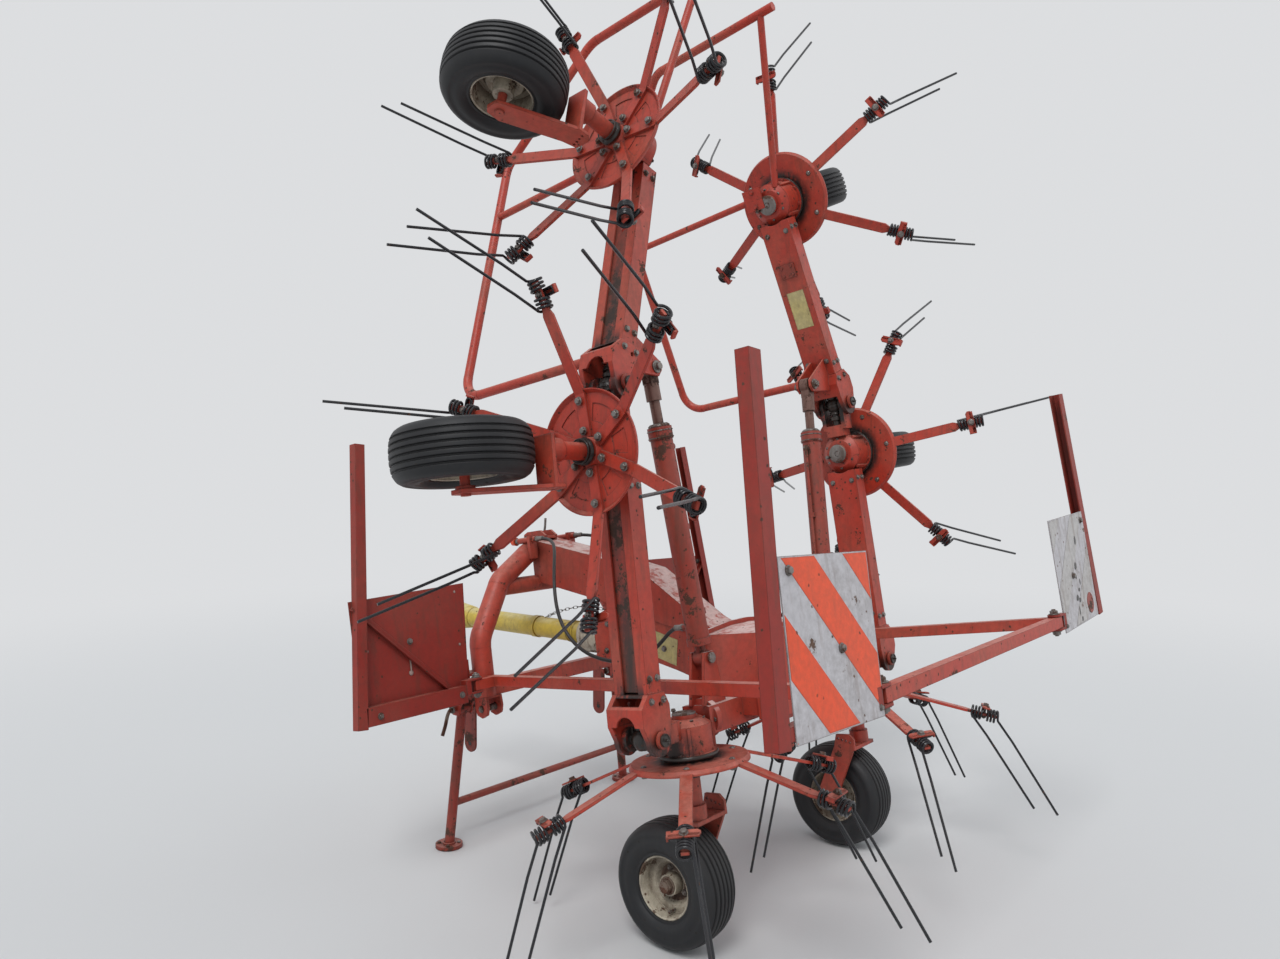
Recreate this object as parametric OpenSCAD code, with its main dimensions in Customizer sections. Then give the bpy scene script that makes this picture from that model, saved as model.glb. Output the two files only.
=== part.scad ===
// Six-rotor mounted hay tedder, standing on its centre wheels and front stand
// with both wings folded up for the road.
// X points right, Y points forward to the tractor, Z points up. Millimetres.

/* [Stance] */
// Height of the rotor discs' plane over the ground at the machine's middle
frame_height = 628; // [560:1:700]
// Forward lean of the whole frame on its stand
frame_tilt = 9.1; // [0:0.1:14]
// Distance between neighbouring rotors
rotor_pitch = 1105; // [1000:5:1250]

/* [Folding] */
// Fold of the inner wings, up from the working position
inner_fold = 92; // [0:1:95]
// Fold of the outer wings against the inner ones
outer_fold = 17.5; // [0:0.5:25]
// Distance from a rotor's axis to the wing hinge beside it
hinge_offset = 213; // [190:1:260]
// Height of the wing hinges over the rotor discs
hinge_height = 105; // [90:1:130]
// Diameter of the wing hinge pins
hinge_pin = 35; // [25:1:45]
// Gap between a hinge's ears on either side
ear_gap = 1.5; // [1:0.5:4]
// Diameter of the hydraulic hoses
hose = 14; // [10:1:20]
// Diameter of a folding cylinder's barrel
barrel = 76; // [60:2:90]
// Diameter of a folding cylinder's rod
rod_width = 36; // [25:1:45]

/* [Rotors] */
// Radius of a rotor's disc
disc_radius = 198; // [170:1:230]
// Thickness of the disc's sheet
disc_sheet = 6; // [4:1:10]
// Number of arms on each rotor
arms = 6; // [5:1:8]
// Width of an arm's flat bar
arm_width = 40; // [30:1:50]
// Thickness of an arm's flat bar
arm_bar = 10; // [6:1:14]
// Radius at which the arms bend down
arm_bend = 186; // [170:1:220]
// Droop of the arms beyond the bend
arm_droop = 19.5; // [10:0.5:25]
// Radius of the coils' middle
coil_place = 498; // [440:1:540]
// Turning of the rotors' arms at rest
rotor_phase = 35; // [0:1:59]

/* [Tines] */
// Diameter of the spring wire
tine_wire = 9.5; // [8:0.5:11]
// Outer diameter of the coils
coil_outer = 54; // [46:1:62]
// Length of one coil pack
coil_pack = 36; // [28:1:44]
// Gap between the two packs of a tine
coil_gap = 10; // [6:1:20]
// Radius that the outer tine tips reach
tip_radius = 700; // [640:5:760]
// Trail of the tine tips behind their coils
tine_trail = 30; // [0:1:60]
// Depth of the outer tine tips below the disc
tip_depth = 508; // [460:1:540]

/* [Wheels] */
// Radius of a tyre
tyre_radius = 206; // [190:1:220]
// Width of a tyre
tyre_width = 160; // [130:5:180]
// Diameter of the rim at the tyre's bead
rim_diameter = 203; // [180:1:230]
// Distance of the axles in front of the rotor axes
axle_forward = 121; // [60:1:160]
// Depth of the axles below the discs
axle_drop = 408; // [380:1:430]
// Diameter of an axle
axle_pin = 30; // [20:1:36]
// Diameter of the column through each rotor
column = 56; // [44:1:64]
// Half width of the shoe above each tyre
shoe_half = 38; // [30:1:60]

/* [Beams] */
// Width of a wing beam, front to rear
beam_width = 134; // [110:2:150]
// Height of a wing beam
beam_height = 68; // [56:2:84]
// Wall of the folded sections
beam_wall = 8; // [5:1:12]
// Gap between the lips of the open side
beam_mouth = 60; // [30:2:80]
// Diameter of the knuckles at the wing hinges
knuckle = 100; // [80:2:110]
// Depth of the hinge hoods below the hinge
hood_drop = 72; // [50:1:80]
// Height of the hinge hoods above the hinge
hood_rise = 58; // [50:1:70]

/* [Headstock] */
// Distance of the headstock in front of the rotors
headstock_forward = 1140; // [1050:5:1220]
// Distance of each lower hitch from the middle
hitch_half = 425; // [380:1:450]
// Distance of the middle of each lower hitch from the machine's middle
link_half = 412; // [380:1:440]
// Height of the lower hitch over the discs
hitch_height = 120; // [100:1:160]
// Diameter of the lower hitch holes
hitch_hole = 28.6; // [22:0.1:38]
// Space for the tractor's ball between the lower hitch plates
ball_gap = 60; // [48:1:72]
// Height of the lower bar over the discs
bar_height = 198; // [180:1:240]
// Diameter of the arched tube
arch_tube = 88; // [70:1:102]
// Bend radius of the arched tube
arch_bend = 110; // [90:5:160]
// Height of the arched tube's crown over the discs
crown_height = 745; // [700:5:800]
// Distance of the top link's pin in front of the crown
top_link_reach = 62; // [50:1:90]
// Height of the top link's pin over the crown
top_link_rise = 56; // [50:1:90]
// Distance between the top link's plates
top_link_gap = 52; // [44:1:60]
// Diameter of the top link's hole
top_link_hole = 25.8; // [19:0.1:32]

/* [Guards] */
// Outer size of the guard frame's square tube
rail = 40; // [30:1:50]
// Height of the guard frame over the discs
rail_height = 233; // [200:1:260]
// Half the rear width of the guard frame
rail_half = 700; // [640:5:740]
// Distance of the rear bar behind the rotors
rail_rear = 796; // [770:1:860]
// Side of a square warning board
board_size = 423; // [300:1:450]
// Distance of the boards' middle from the machine's middle
board_place = 945; // [920:5:980]
// Height of the boards' middle over the discs
board_height = 407; // [380:1:450]
// Length of the posts
post_length = 915; // [700:5:1000]
// Distance of the posts from the machine's middle, at the foot
post_place = 1212; // [1150:1:1250]
// Distance of the front posts from the machine's middle, at the foot
front_post_place = 1070; // [960:5:1150]
// Length of the front posts
front_post_length = 1000; // [800:5:1050]
// Inward lean of the posts
post_lean = 5.5; // [0:0.5:8]
// Inward lean of the boards
board_lean = 2.5; // [0:0.5:5]

// Diameter of the wings' hoops
hoop_tube = 34; // [27:1:42]
// Bend radius of the hoops
hoop_bend = 90; // [70:5:140]

/* [Stand] */
// Diameter of the stand's legs
stand_leg = 40; // [30:1:50]
// Distance of the legs from the machine's middle, at their pivots
stand_half = 468; // [440:1:500]
// Outward splay of the legs
stand_splay = 7.3; // [0:0.1:12]
// Distance of the stand's pivot in front of the hitch corners
stand_reach = 125; // [90:1:150]
// Height of the stand's pivot over the ground
stand_height = 560; // [500:5:600]
// Height of the stand's cross bar over the ground
stand_bar_height = 172; // [100:2:300]
// Diameter of the feet
stand_foot = 110; // [80:5:140]

/* [Hidden] */
$fn = 48;
paint = [0.72, 0.24, 0.16];
black = [0.09, 0.09, 0.10];
cream = [0.78, 0.73, 0.58];
steel = [0.55, 0.55, 0.54];
yellow = [0.85, 0.76, 0.20];
white = [0.85, 0.85, 0.84];
hinge_x = rotor_pitch / 2 + hinge_offset;
arm_length = rotor_pitch - hinge_offset;
coil_z = -arm_bar / 2 - (coil_place - arm_bend) * tan(arm_droop);
coil_mean = (coil_outer - tine_wire) / 2;
hub_bore = column + 0.4;
partner_phase = 180 / arms - rotor_phase;
ear_wall = 18;
ear_inner = 36;
ear_outer = ear_inner + ear_wall + ear_gap;
ear_end = ear_outer + ear_wall;
gearbox_radius = 84;
gearbox_top = 128;
gearbox_foot = 8;
leg_plate = 12;
leg_side = tyre_width / 2 + 24;
axle_out = 66;
tyre_gap = 12;
column_foot = -axle_drop + sqrt(pow(tyre_radius, 2) - pow(axle_forward - shoe_half, 2)) + tyre_gap;
collar_top = column_foot + 60;
arm_run = (coil_place - arm_bend) / cos(arm_droop);
bend_lap = 4;
bend_swell = 1.2;
weld_lap = 2;
running_gap = 0.05;
eye_width = 38;
barrel_start = 46;
port = 24;
port_rise = 16;
port_start = barrel_start + 60;
barrel_gap = 200;
lug_half = 32;
lug_plate = 10;
link_plate = 12;
seat = 0.3;
hood_wall = 8;
hood_start = 46;
hood_shoulder = 100;
hood_end = 140;
cyl_foot = [420, 300];
cyl_head = [141, 174];
clevis_pin = 16;
fork_reach = 44;
fork_gap = 1.5;
front_pivot = stand_half + lug_half + lug_plate / 2 + 28;
front_line = headstock_forward - arch_tube / 2 - rail;
plate_start = 30;
clevis_plate = 8;
board_sheet = 3;
post_wall = 5;
shaft_foot = [0, 830, 345];
shaft_rise = 8;
shaft_root = 170;
shaft_reach = 1020;
middle_forward = 558.64;

// Places

module on_frame() {
    translate([0, -middle_forward, frame_height])
        rotate([-frame_tilt, 0, 0])
            children();
}

module on_side(side) {
    if (side < 0)
        mirror([1, 0, 0]) children();
    else
        children();
}

module at_centre(side) {
    on_frame()
        on_side(side)
            translate([rotor_pitch / 2, 0, 0])
                children();
}

module at_inner_hinge(side) {
    on_frame()
        on_side(side)
            translate([hinge_x, 0, hinge_height])
                rotate([0, -inner_fold, 0])
                    children();
}

module at_outer_hinge(side) {
    at_inner_hinge(side)
        translate([rotor_pitch, 0, 0])
            rotate([0, -outer_fold, 0])
                children();
}

module at_inner_rotor(side) {
    at_inner_hinge(side)
        translate([arm_length, 0, -hinge_height])
            children();
}

module at_outer_rotor(side) {
    at_outer_hinge(side)
        translate([arm_length, 0, -hinge_height])
            children();
}

module rod(from, to, d) {
    v = to - from;
    translate(from)
        rotate([0, acos(v[2] / norm(v)), atan2(v[1], v[0])])
            cylinder(d = d, h = norm(v));
}

// A tube bent along a flat path, each corner with the same bend radius

function unit(v) = v / norm(v);
function turn(path, i) =
    acos(unit(path[i] - path[i - 1]) * unit(path[i + 1] - path[i]));
function setback(path, i, bend) =
    i == 0 || i == len(path) - 1 ? 0 : bend * tan(turn(path, i) / 2);

module bent_tube(path, bend, d) {
    for (i = [0 : len(path) - 2]) {
        v = unit(path[i + 1] - path[i]);
        from = setback(path, i, bend) - (i == 0 ? 0 : bend_lap);
        to = norm(path[i + 1] - path[i]) - setback(path, i + 1, bend)
            + (i == len(path) - 2 ? 0 : bend_lap);
        translate(path[i] + from * v)
            rotate([0, 90, atan2(v[1], v[0])])
                cylinder(d = d, h = to - from);
    }
    for (i = [1 : len(path) - 2]) {
        u = unit(path[i] - path[i - 1]);
        s = sign(cross(u, path[i + 1] - path[i]));
        angle = turn(path, i);
        translate(path[i] - setback(path, i, bend) * u + s * bend * [-u[1], u[0]])
            rotate(atan2(-s * u[0], s * u[1]) - (s < 0 ? angle : 0))
                rotate_extrude(angle = angle)
                    translate([bend, 0])
                        circle(d = d + bend_swell);
    }
}

module across(d, h) {
    rotate([90, 0, 0])
        cylinder(d = d, h = h, center = true);
}

module along(d, h) {
    rotate([0, 90, 0])
        cylinder(d = d, h = h, center = true);
}

// Rotor, turning about the column that passes through its hub

press_inner = 96;
press_outer = 152;
press_depth = 3;
press_angle = 180 / arms;
disc_profile = [
    [hub_bore / 2, -26], [hub_bore / 2 + 14, -26], [hub_bore / 2 + 22, -disc_sheet],
    [disc_radius - 14, -disc_sheet], [disc_radius - 4, -18], [disc_radius, -18],
    [disc_radius, -12], [disc_radius - 8, 0], [82, 0], [78, 6], [hub_bore / 2, 6]];

module on_arm_end() {
    translate([arm_bend, 0, -disc_sheet])
        rotate([0, arm_droop, 0])
            translate([arm_run, 0, -arm_bar / 2])
                children();
}

module rotor_arm() {
    bend = [arm_bend, 0];
    along = [cos(arm_droop), -sin(arm_droop)];
    tip = bend + (arm_run + coil_pack + coil_gap) * along;
    lift = arm_bar * [sin(arm_droop), cos(arm_droop)];
    knee = arm_bend - arm_bar * tan(arm_droop / 2);
    translate([0, 0, -disc_sheet])
        intersection() {
            rotate([90, 0, 0])
                linear_extrude(arm_width, center = true)
                    polygon([[46, -arm_bar], [knee, -arm_bar], tip - lift, tip, bend, [46, 0]]);
            linear_extrude(900, center = true)
                polygon([[40, -arm_width / 2], [430, -arm_width / 2], [448, -12], [600, -12],
                    [600, 12], [448, 12], [430, arm_width / 2], [40, arm_width / 2]]);
        }
}

module rotor(phase) {
    color(paint)
        rotate(phase)
            union() {
                difference() {
                    rotate_extrude()
                        polygon(disc_profile);
                    for (i = [0 : arms - 1])
                        rotate((i + 0.5) * 360 / arms - press_angle / 2)
                            rotate_extrude(angle = press_angle)
                                translate([press_inner, -disc_sheet - 1])
                                    square([press_outer - press_inner, press_depth + 1]);
                }
                for (i = [0 : arms - 1])
                    rotate(i * 360 / arms) {
                        rotor_arm();
                        for (r = [66, 162])
                            translate([r, 0, -disc_sheet - arm_bar - 8])
                                cylinder(d = 22, h = 9, $fn = 6);
                    }
            }
}

// One double spring tine on the end of an arm

module tine() {
    reach = coil_pack + coil_gap / 2 - tine_wire / 2;
    slope = [cos(arm_droop), 0, -sin(arm_droop)];
    centre = [arm_bend, 0, -disc_sheet] + arm_run * slope
        - arm_bar / 2 * [sin(arm_droop), 0, cos(arm_droop)];
    foot = [tip_radius, coil_mean + tine_trail, -tip_depth] - reach * slope;
    for (s = [-1, 1]) {
        rod(centre + s * reach * slope + [0, coil_mean, 0], foot + s * reach * slope, tine_wire);
        on_arm_end()
            translate([s * (coil_pack + coil_gap) / 2, 0, 0])
                difference() {
                    along(coil_outer, coil_pack);
                    along(coil_outer - 2 * tine_wire, coil_pack + 1);
                }
    }
    on_arm_end() {
        translate([0, 0, coil_outer / 2 - 3])
            cube([22, 94, 6], center = true);
        translate([0, 0, arm_bar / 2])
            cylinder(d = coil_gap - 1, h = coil_outer / 2 - arm_bar / 2 - 4);
    }
}

module tines(phase, way) {
    color(black)
        rotate(phase)
            for (i = [0 : arms - 1])
                rotate(i * 360 / arms)
                    if (way > 0)
                        tine();
                    else
                        mirror([0, 1, 0]) tine();
}

// Gearbox, column and wheel leg of one rotor; inboard is negative X

module gearbox() {
    color(paint)
        difference() {
            union() {
                translate([0, 0, gearbox_foot])
                    cylinder(r = gearbox_radius + 12, h = 14);
                translate([0, 0, gearbox_foot])
                    cylinder(r = gearbox_radius, h = gearbox_top - gearbox_foot - 20);
                translate([0, 0, gearbox_top - 21])
                    cylinder(r1 = gearbox_radius, r2 = gearbox_radius - 26, h = 20);
                translate([0, 0, gearbox_top - 2])
                    cylinder(r = 40, h = 14);
                for (i = [0 : 7])
                    rotate(22.5 + i * 45)
                        translate([gearbox_radius + 1, 0, gearbox_foot + 13])
                            cylinder(d = 15, h = 8, $fn = 6);
                for (i = [0 : 3])
                    rotate(45 + i * 90)
                        translate([0, -6, gearbox_foot + 10])
                            cube([gearbox_radius + 9, 12, gearbox_top - gearbox_foot - 34]);
                translate([0, 0, column_foot])
                    cylinder(d = column, h = gearbox_foot - column_foot + 2);
                translate([0, 0, column_foot])
                    cylinder(d = column + 18, h = collar_top - column_foot);
                wheel_leg();
            }
            translate([0, 0, gearbox_top + 6])
                cylinder(d = 22, h = 20, $fn = 6);
        }
}

// Leg beside the wheel, with the row of holes that sets its height

module wheel_leg() {
    foot = -leg_side - leg_plate;
    translate([foot, -shoe_half, column_foot])
        cube([leg_side + leg_plate + 44, 2 * shoe_half, 14]);
    translate([foot, 0, 0])
        rotate([90, 0, 90])
            difference() {
                linear_extrude(leg_plate)
                    polygon([[-shoe_half, column_foot + 14], [-shoe_half, column_foot + 44],
                        [-shoe_half + 20, column_foot + 64], [shoe_half, column_foot + 64],
                        [shoe_half + 16, column_foot + 14], [axle_forward + 36, -axle_drop + 26],
                        [axle_forward + 36, -axle_drop - 22], [axle_forward + 20, -axle_drop - 36],
                        [axle_forward - 24, -axle_drop - 36], [axle_forward - 40, -axle_drop - 10]]);
                for (i = [0 : 3])
                    translate([-shoe_half + 18 + i * 17, column_foot + 32 + i * 5, -1])
                        cylinder(d = 9, h = leg_plate + 2);
            }
    translate([foot, axle_forward, -axle_drop])
        rotate([0, 90, 0])
            cylinder(d = 58, h = leg_plate + 10);
    translate([foot - 6, axle_forward, -axle_drop])
        rotate([0, 90, 0])
            cylinder(d = axle_pin, h = leg_side + leg_plate + axle_out);
}

// Wheel, turning about X at its own middle

tyre_profile = [
    [rim_diameter / 2, -tyre_width * 0.38], [rim_diameter / 2 + 22, -tyre_width * 0.46],
    [tyre_radius - 62, -tyre_width / 2], [tyre_radius - 38, -tyre_width * 0.49],
    [tyre_radius - 14, -tyre_width * 0.42], [tyre_radius - 4, -tyre_width * 0.31],
    [tyre_radius, -tyre_width * 0.12], [tyre_radius, tyre_width * 0.12],
    [tyre_radius - 4, tyre_width * 0.31], [tyre_radius - 14, tyre_width * 0.42],
    [tyre_radius - 38, tyre_width * 0.49], [tyre_radius - 62, tyre_width / 2],
    [rim_diameter / 2 + 22, tyre_width * 0.46], [rim_diameter / 2, tyre_width * 0.38]];

module tyre() {
    color(black)
        rotate([0, 90, 0])
            rotate_extrude($fn = 72)
                polygon(tyre_profile);
}

module rim() {
    r = rim_diameter / 2;
    w = tyre_width * 0.38;
    color(cream)
        rotate([0, 90, 0])
            rotate_extrude()
                polygon([[axle_pin / 2 + running_gap, -w + 10], [34, -w + 10], [36, -6], [62, -6], [74, 12],
                    [r - 8, 12], [r - 5, -w], [r, -w], [r, w], [r - 5, w], [r - 8, 18], [70, 18], [58, 0],
                    [36, 0], [34, 40], [axle_pin / 2 + running_gap, 40]]);
}

module at_wheel() {
    translate([0, axle_forward, -axle_drop])
        children();
}

// Wing beams, with their hinge at the origin and the beam along X

beam_section = [
    [-beam_width / 2, -beam_height / 2], [-beam_mouth / 2, -beam_height / 2],
    [-beam_mouth / 2, -beam_height / 2 + beam_wall],
    [-beam_width / 2 + beam_wall, -beam_height / 2 + beam_wall],
    [-beam_width / 2 + beam_wall, beam_height / 2 - beam_wall],
    [beam_width / 2 - beam_wall, beam_height / 2 - beam_wall],
    [beam_width / 2 - beam_wall, -beam_height / 2 + beam_wall],
    [beam_mouth / 2, -beam_height / 2 + beam_wall], [beam_mouth / 2, -beam_height / 2],
    [beam_width / 2, -beam_height / 2], [beam_width / 2, beam_height / 2],
    [-beam_width / 2, beam_height / 2]];

module beam(from, to) {
    translate([from, 0, 0])
        rotate([90, 0, 90])
            linear_extrude(to - from)
                polygon(beam_section);
}

hood_profile = [[0, -knuckle / 2], [hood_start, -hood_drop], [hood_shoulder, -hood_drop],
    [hood_end, -beam_height / 2 - 4], [hood_end, beam_height / 2 + 4], [hood_shoulder, hood_rise],
    [hood_start, hood_rise], [0, knuckle / 2]];

// Hood of a wing hinge: two cheeks on the pin, closed over the drive's joint

module outer_ears() {
    rotate([90, 0, 0])
        difference() {
            union() {
                for (s = [-1, 1])
                    translate([0, 0, s * (ear_outer + ear_wall / 2)])
                        linear_extrude(ear_wall, center = true)
                            polygon(hood_profile);
                intersection() {
                    linear_extrude(2 * ear_outer + 2, center = true)
                        polygon(hood_profile);
                    translate([hood_start, -hood_drop, -ear_end])
                        cube([hood_end, hood_drop + hood_rise, 2 * ear_end]);
                }
                for (s = [-1, 1])
                    translate([0, 0, s * (ear_outer + ear_wall / 2)])
                        cylinder(d = knuckle, h = ear_wall, center = true);
            }
            cylinder(d = hinge_pin + 2 * running_gap, h = 3 * ear_end, center = true);
            translate([hood_start - 1, -hood_drop + hood_wall, -ear_outer + 1])
                cube([hood_end - hood_wall - hood_start, hood_drop + hood_rise - 3 * hood_wall,
                    2 * ear_outer - 2]);
            translate([hood_start - 6, 0, 0])
                rotate([90, 0, 0])
                    cylinder(d = 76, h = 2 * hood_drop);
            translate([hood_shoulder + 6, 14, 0])
                cylinder(d = 14, h = 3 * ear_end, center = true);
        }
}

module inner_ears() {
    for (s = [-1, 1])
        translate([0, s * (ear_inner + ear_wall / 2), 0]) {
            across(76, ear_wall);
            translate([-50, 0, 0])
                cube([100, ear_wall, 60], center = true);
        }
    across(hinge_pin, 2 * ear_end + 16);
    for (s = [-1, 1])
        translate([0, s * (ear_end + 9), 0])
            across(56, 10);
    translate([-100, 0, 0])
        cube([20, 2 * (ear_inner + ear_wall), 60], center = true);
}

module beam_inner() {
    color(paint)
        difference() {
            union() {
                outer_ears();
                beam(hood_end - 2, arm_length - gearbox_radius + 8);
            }
            translate([arm_length, 0, -hinge_height])
                cylinder(r = gearbox_radius + seat, h = 400);
        }
}

module beam_outer() {
    beam_inner();
    color(paint)
        for (s = [-1, 1])
            translate([cyl_head[0], s * (eye_width / 2 + 6 + 5), 0])
                rotate([90, 0, 0])
                    difference() {
                        linear_extrude(10, center = true)
                            polygon([[-70, beam_height / 2 - 1], [70, beam_height / 2 - 1],
                                [26, cyl_head[1] + 20], [0, cyl_head[1] + 30], [-26, cyl_head[1] + 20]]);
                        translate([0, cyl_head[1], 0])
                            cylinder(d = 26, h = 20, center = true);
                    }
}

module gearbox_inner() {
    gearbox();
    color(paint)
        translate([hinge_offset, 0, hinge_height])
            inner_ears();
    color(paint)
        translate([gearbox_radius - 10, -40, hinge_height - 30])
            cube([hinge_offset - gearbox_radius - 90, 80, 60]);
}

// Hoop round the outer rotor, in the outer wing's plane

hoop_path = [[120, 60], [120, 760], [1160, 745], [1575, 340], [1590, -260]];
hoop_stay = [[arm_length + 40, 60, 0], [915, 748, 0]];
end_stay = [[arm_length + 60, -40, 0], [1588, -200, 0]];

module hoop() {
    color(paint) {
        bent_tube(hoop_path, hoop_bend, hoop_tube);
        rod(hoop_stay[0], hoop_stay[1], hoop_tube - 6);
        rod(end_stay[0], end_stay[1], hoop_tube - 6);
    }
}

// Folding cylinder of a wing

function cyl_top() =
    [hinge_x, hinge_height]
    + rotor_pitch * [cos(inner_fold), sin(inner_fold)]
    + cyl_head[0] * [cos(inner_fold + outer_fold), sin(inner_fold + outer_fold)]
    + cyl_head[1] * [-sin(inner_fold + outer_fold), cos(inner_fold + outer_fold)];

module at_cylinder(side) {
    d = cyl_top() - cyl_foot;
    on_frame()
        on_side(side)
            translate([cyl_foot[0], 0, cyl_foot[1]])
                rotate([0, -atan2(d[1], d[0]), 0])
                    children();
}

module cylinder_body() {
    long = norm(cyl_top() - cyl_foot);
    color(paint)
        difference() {
            union() {
                across(56, eye_width);
                rotate([0, 90, 0])
                    cylinder(d = 36, h = barrel_start + 4);
                translate([barrel_start, 0, 0])
                    rotate([0, 90, 0]) {
                        cylinder(d = barrel, h = long - barrel_start - barrel_gap);
                        cylinder(d = barrel + 8, h = 24);
                        translate([0, 0, long - barrel_start - barrel_gap - 42])
                            cylinder(d = barrel + 8, h = 42);
                    }
                translate([port_start, barrel / 2 - 10, 0])
                    rotate([-90, 0, 0])
                        cylinder(d = port, h = port_rise + 10);
                translate([long - barrel_gap - 70, 0, barrel / 2 - 10])
                    cylinder(d = port, h = port_rise + 10);
                vent_pipe(port_start + 30, long - barrel_gap - 70);
            }
            across(24 + 2 * running_gap, eye_width + 2);
            translate([barrel_start + 30, 0, 0])
                rotate([0, 90, 0])
                    cylinder(d = rod_width + 2, h = long);
        }
}

// Pipe down the barrel from the port at the rod's end, held by two clips

module vent_pipe(low, high) {
    line = barrel / 2 + port_rise - 5;
    translate([low, 0, line])
        rotate([0, 90, 0])
            cylinder(d = 12, h = high - low);
    for (x = [low, low + (high - low) / 2])
        translate([x + 4, -12, barrel / 2 - 6])
            cube([20, 24, port_rise + 4]);
}

module cylinder_rod() {
    long = norm(cyl_top() - cyl_foot);
    color(steel)
        difference() {
            union() {
                translate([barrel_start + 60, 0, 0])
                    rotate([0, 90, 0])
                        cylinder(d = rod_width, h = long - barrel_start - 80);
                translate([long - 110, 0, 0])
                    rotate([0, 90, 0])
                        cylinder(d = 52, h = 60);
                translate([long - 52, -eye_width / 2, -21])
                    cube([50, eye_width, 42]);
                translate([long, 0, 0])
                    across(62, eye_width);
            }
            translate([long, 0, 0])
                across(26, eye_width + 2);
        }
}

// Hydraulic hose of a cylinder, from its holder on the arch down to the lower port

hose_holder = [120, -52, 45];
hose_route = [[120, 1059.7, 790], [120, 1040, 790], [128, 990, 784], [146, 945, 772], [176, 900, 752],
    [214, 860, 722], [254, 826, 682], [290, 798, 632], [318, 776, 574], [336, 757, 512], [346, 734, 452],
    [351, 700, 398], [354, 655, 354], [356, 600, 321], [358, 545, 302], [361, 485, 290], [365, 425, 285],
    [372, 362, 286], [380, 306, 294], [388, 260, 310], [396, 214, 338], [404, 172, 364], [415, 136, 386],
    [424, 106, 399], [429, 84, 404], [430.3, 68, 405.5], [430.3, 54.4, 405.5]];

function tangent(path, i) =
    unit(path[min(i + 1, len(path) - 1)] - path[max(i - 1, 0)]);
function hose_ring(path, i, r, sides) =
    let (t = tangent(path, i), u = unit(cross(t, [1, 0, 0])), w = cross(t, u))
        [for (k = [0 : sides - 1]) path[i] + r * (cos(k * 360 / sides) * u + sin(k * 360 / sides) * w)];

module hose_tube(path, d, sides = 8) {
    last = (len(path) - 1) * sides;
    polyhedron(
        points = [for (i = [0 : len(path) - 1]) each hose_ring(path, i, d / 2, sides)],
        faces = concat(
            [[for (k = [0 : sides - 1]) k], [for (k = [0 : sides - 1]) last + sides - 1 - k]],
            [for (i = [0 : len(path) - 2], k = [0 : sides - 1])
                let (a = i * sides + k, b = i * sides + (k + 1) % sides) [a, a + sides, b]],
            [for (i = [0 : len(path) - 2], k = [0 : sides - 1])
                let (a = i * sides + k, b = i * sides + (k + 1) % sides) [b, a + sides, b + sides]]));
}

module hydraulic_hose() {
    color(black)
        on_frame()
            hose_tube(hose_route, hose);
}

// Centre of the machine

box_half = 150;
case_profile = [[-300, 84], [-205, 60], [205, 60], [300, 84], [300, 150], [215, 352], [60, 366], [-60, 366],
    [-215, 352], [-300, 150]];

module centre_box() {
    color(paint)
        on_frame() {
            difference() {
                union() {
                    translate([-rotor_pitch / 2, -55, hinge_height - 45])
                        cube([rotor_pitch, 110, 90]);
                    for (s = [-1, 1])
                        translate([s * (rotor_pitch / 2 - gearbox_radius - 20), 0, hinge_height])
                            along(132, 26);
                }
                for (s = [-1, 1])
                    translate([s * rotor_pitch / 2, 0, 0])
                        cylinder(r = gearbox_radius + seat, h = 400);
            }
            rotate([90, 0, 0])
                linear_extrude(2 * box_half, center = true)
                    polygon(case_profile);
            for (s = [-1, 1])
                translate([0, s * (box_half - 14), 0])
                    rotate([90, 0, 0])
                        linear_extrude(16, center = true)
                            polygon([[-316, 76], [-215, 48], [215, 48], [316, 76], [316, 152], [228, 366],
                                [62, 382], [-62, 382], [-228, 366], [-316, 152]]);
            for (s = [-1, 1])
                on_side(s)
                    translate([cyl_foot[0], 0, cyl_foot[1]])
                        cylinder_foot();
        }
}

module cylinder_foot() {
    for (s = [-1, 1])
        translate([0, s * (eye_width / 2 + 2 + 6), 0])
            rotate([90, 0, 0])
                linear_extrude(12, center = true)
                    polygon([[-60, hinge_height + 44 - cyl_foot[1]], [60, hinge_height + 44 - cyl_foot[1]],
                        [26, 20], [-26, 20]]);
    across(24, eye_width + 40);
}

// Main beam from the centre up to the arch, seen from the side

// Each shape gives shares of the way forward and up, from the case to the beam's head

function between(foot, head, shape) =
    [for (p = shape) [foot[0] + p[0] * (head[0] - foot[0]), foot[1] + p[1] * (head[1] - foot[1])]];

beam_front = headstock_forward - 370;
beam_top = between([box_half + seat, 330], [beam_front, crown_height - 59],
    [[0, 0], [0.166, 0.174], [0.377, 0.466], [0.597, 0.77], [1, 1]]);
beam_under = between([box_half + seat, 296], [beam_front, crown_height - 243],
    [[1, 1], [0.65, 0.62], [0.4, 0.374], [0, 0]]);
beam_rise = 0.29;
crown_line = headstock_forward - beam_front;

module main_beam() {
    color(paint)
        on_frame()
            difference() {
                rotate([90, 0, 90])
                    linear_extrude(160, center = true)
                        polygon(concat(beam_top,
                            [[headstock_forward, beam_top[4][1] + beam_rise * crown_line],
                                [headstock_forward, beam_under[0][1] + beam_rise * crown_line]],
                            beam_under));
                translate([0, headstock_forward, crown_height])
                    along(arch_tube + bend_swell + 2 * seat, 400);
                translate([0, headstock_forward, cross_height])
                    along(cross_tube + 2 * seat, 400);
            }
}

case_front = shaft_foot[1] - 10;

// Case of the input drive under the main beam, open in front for the shaft

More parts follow.
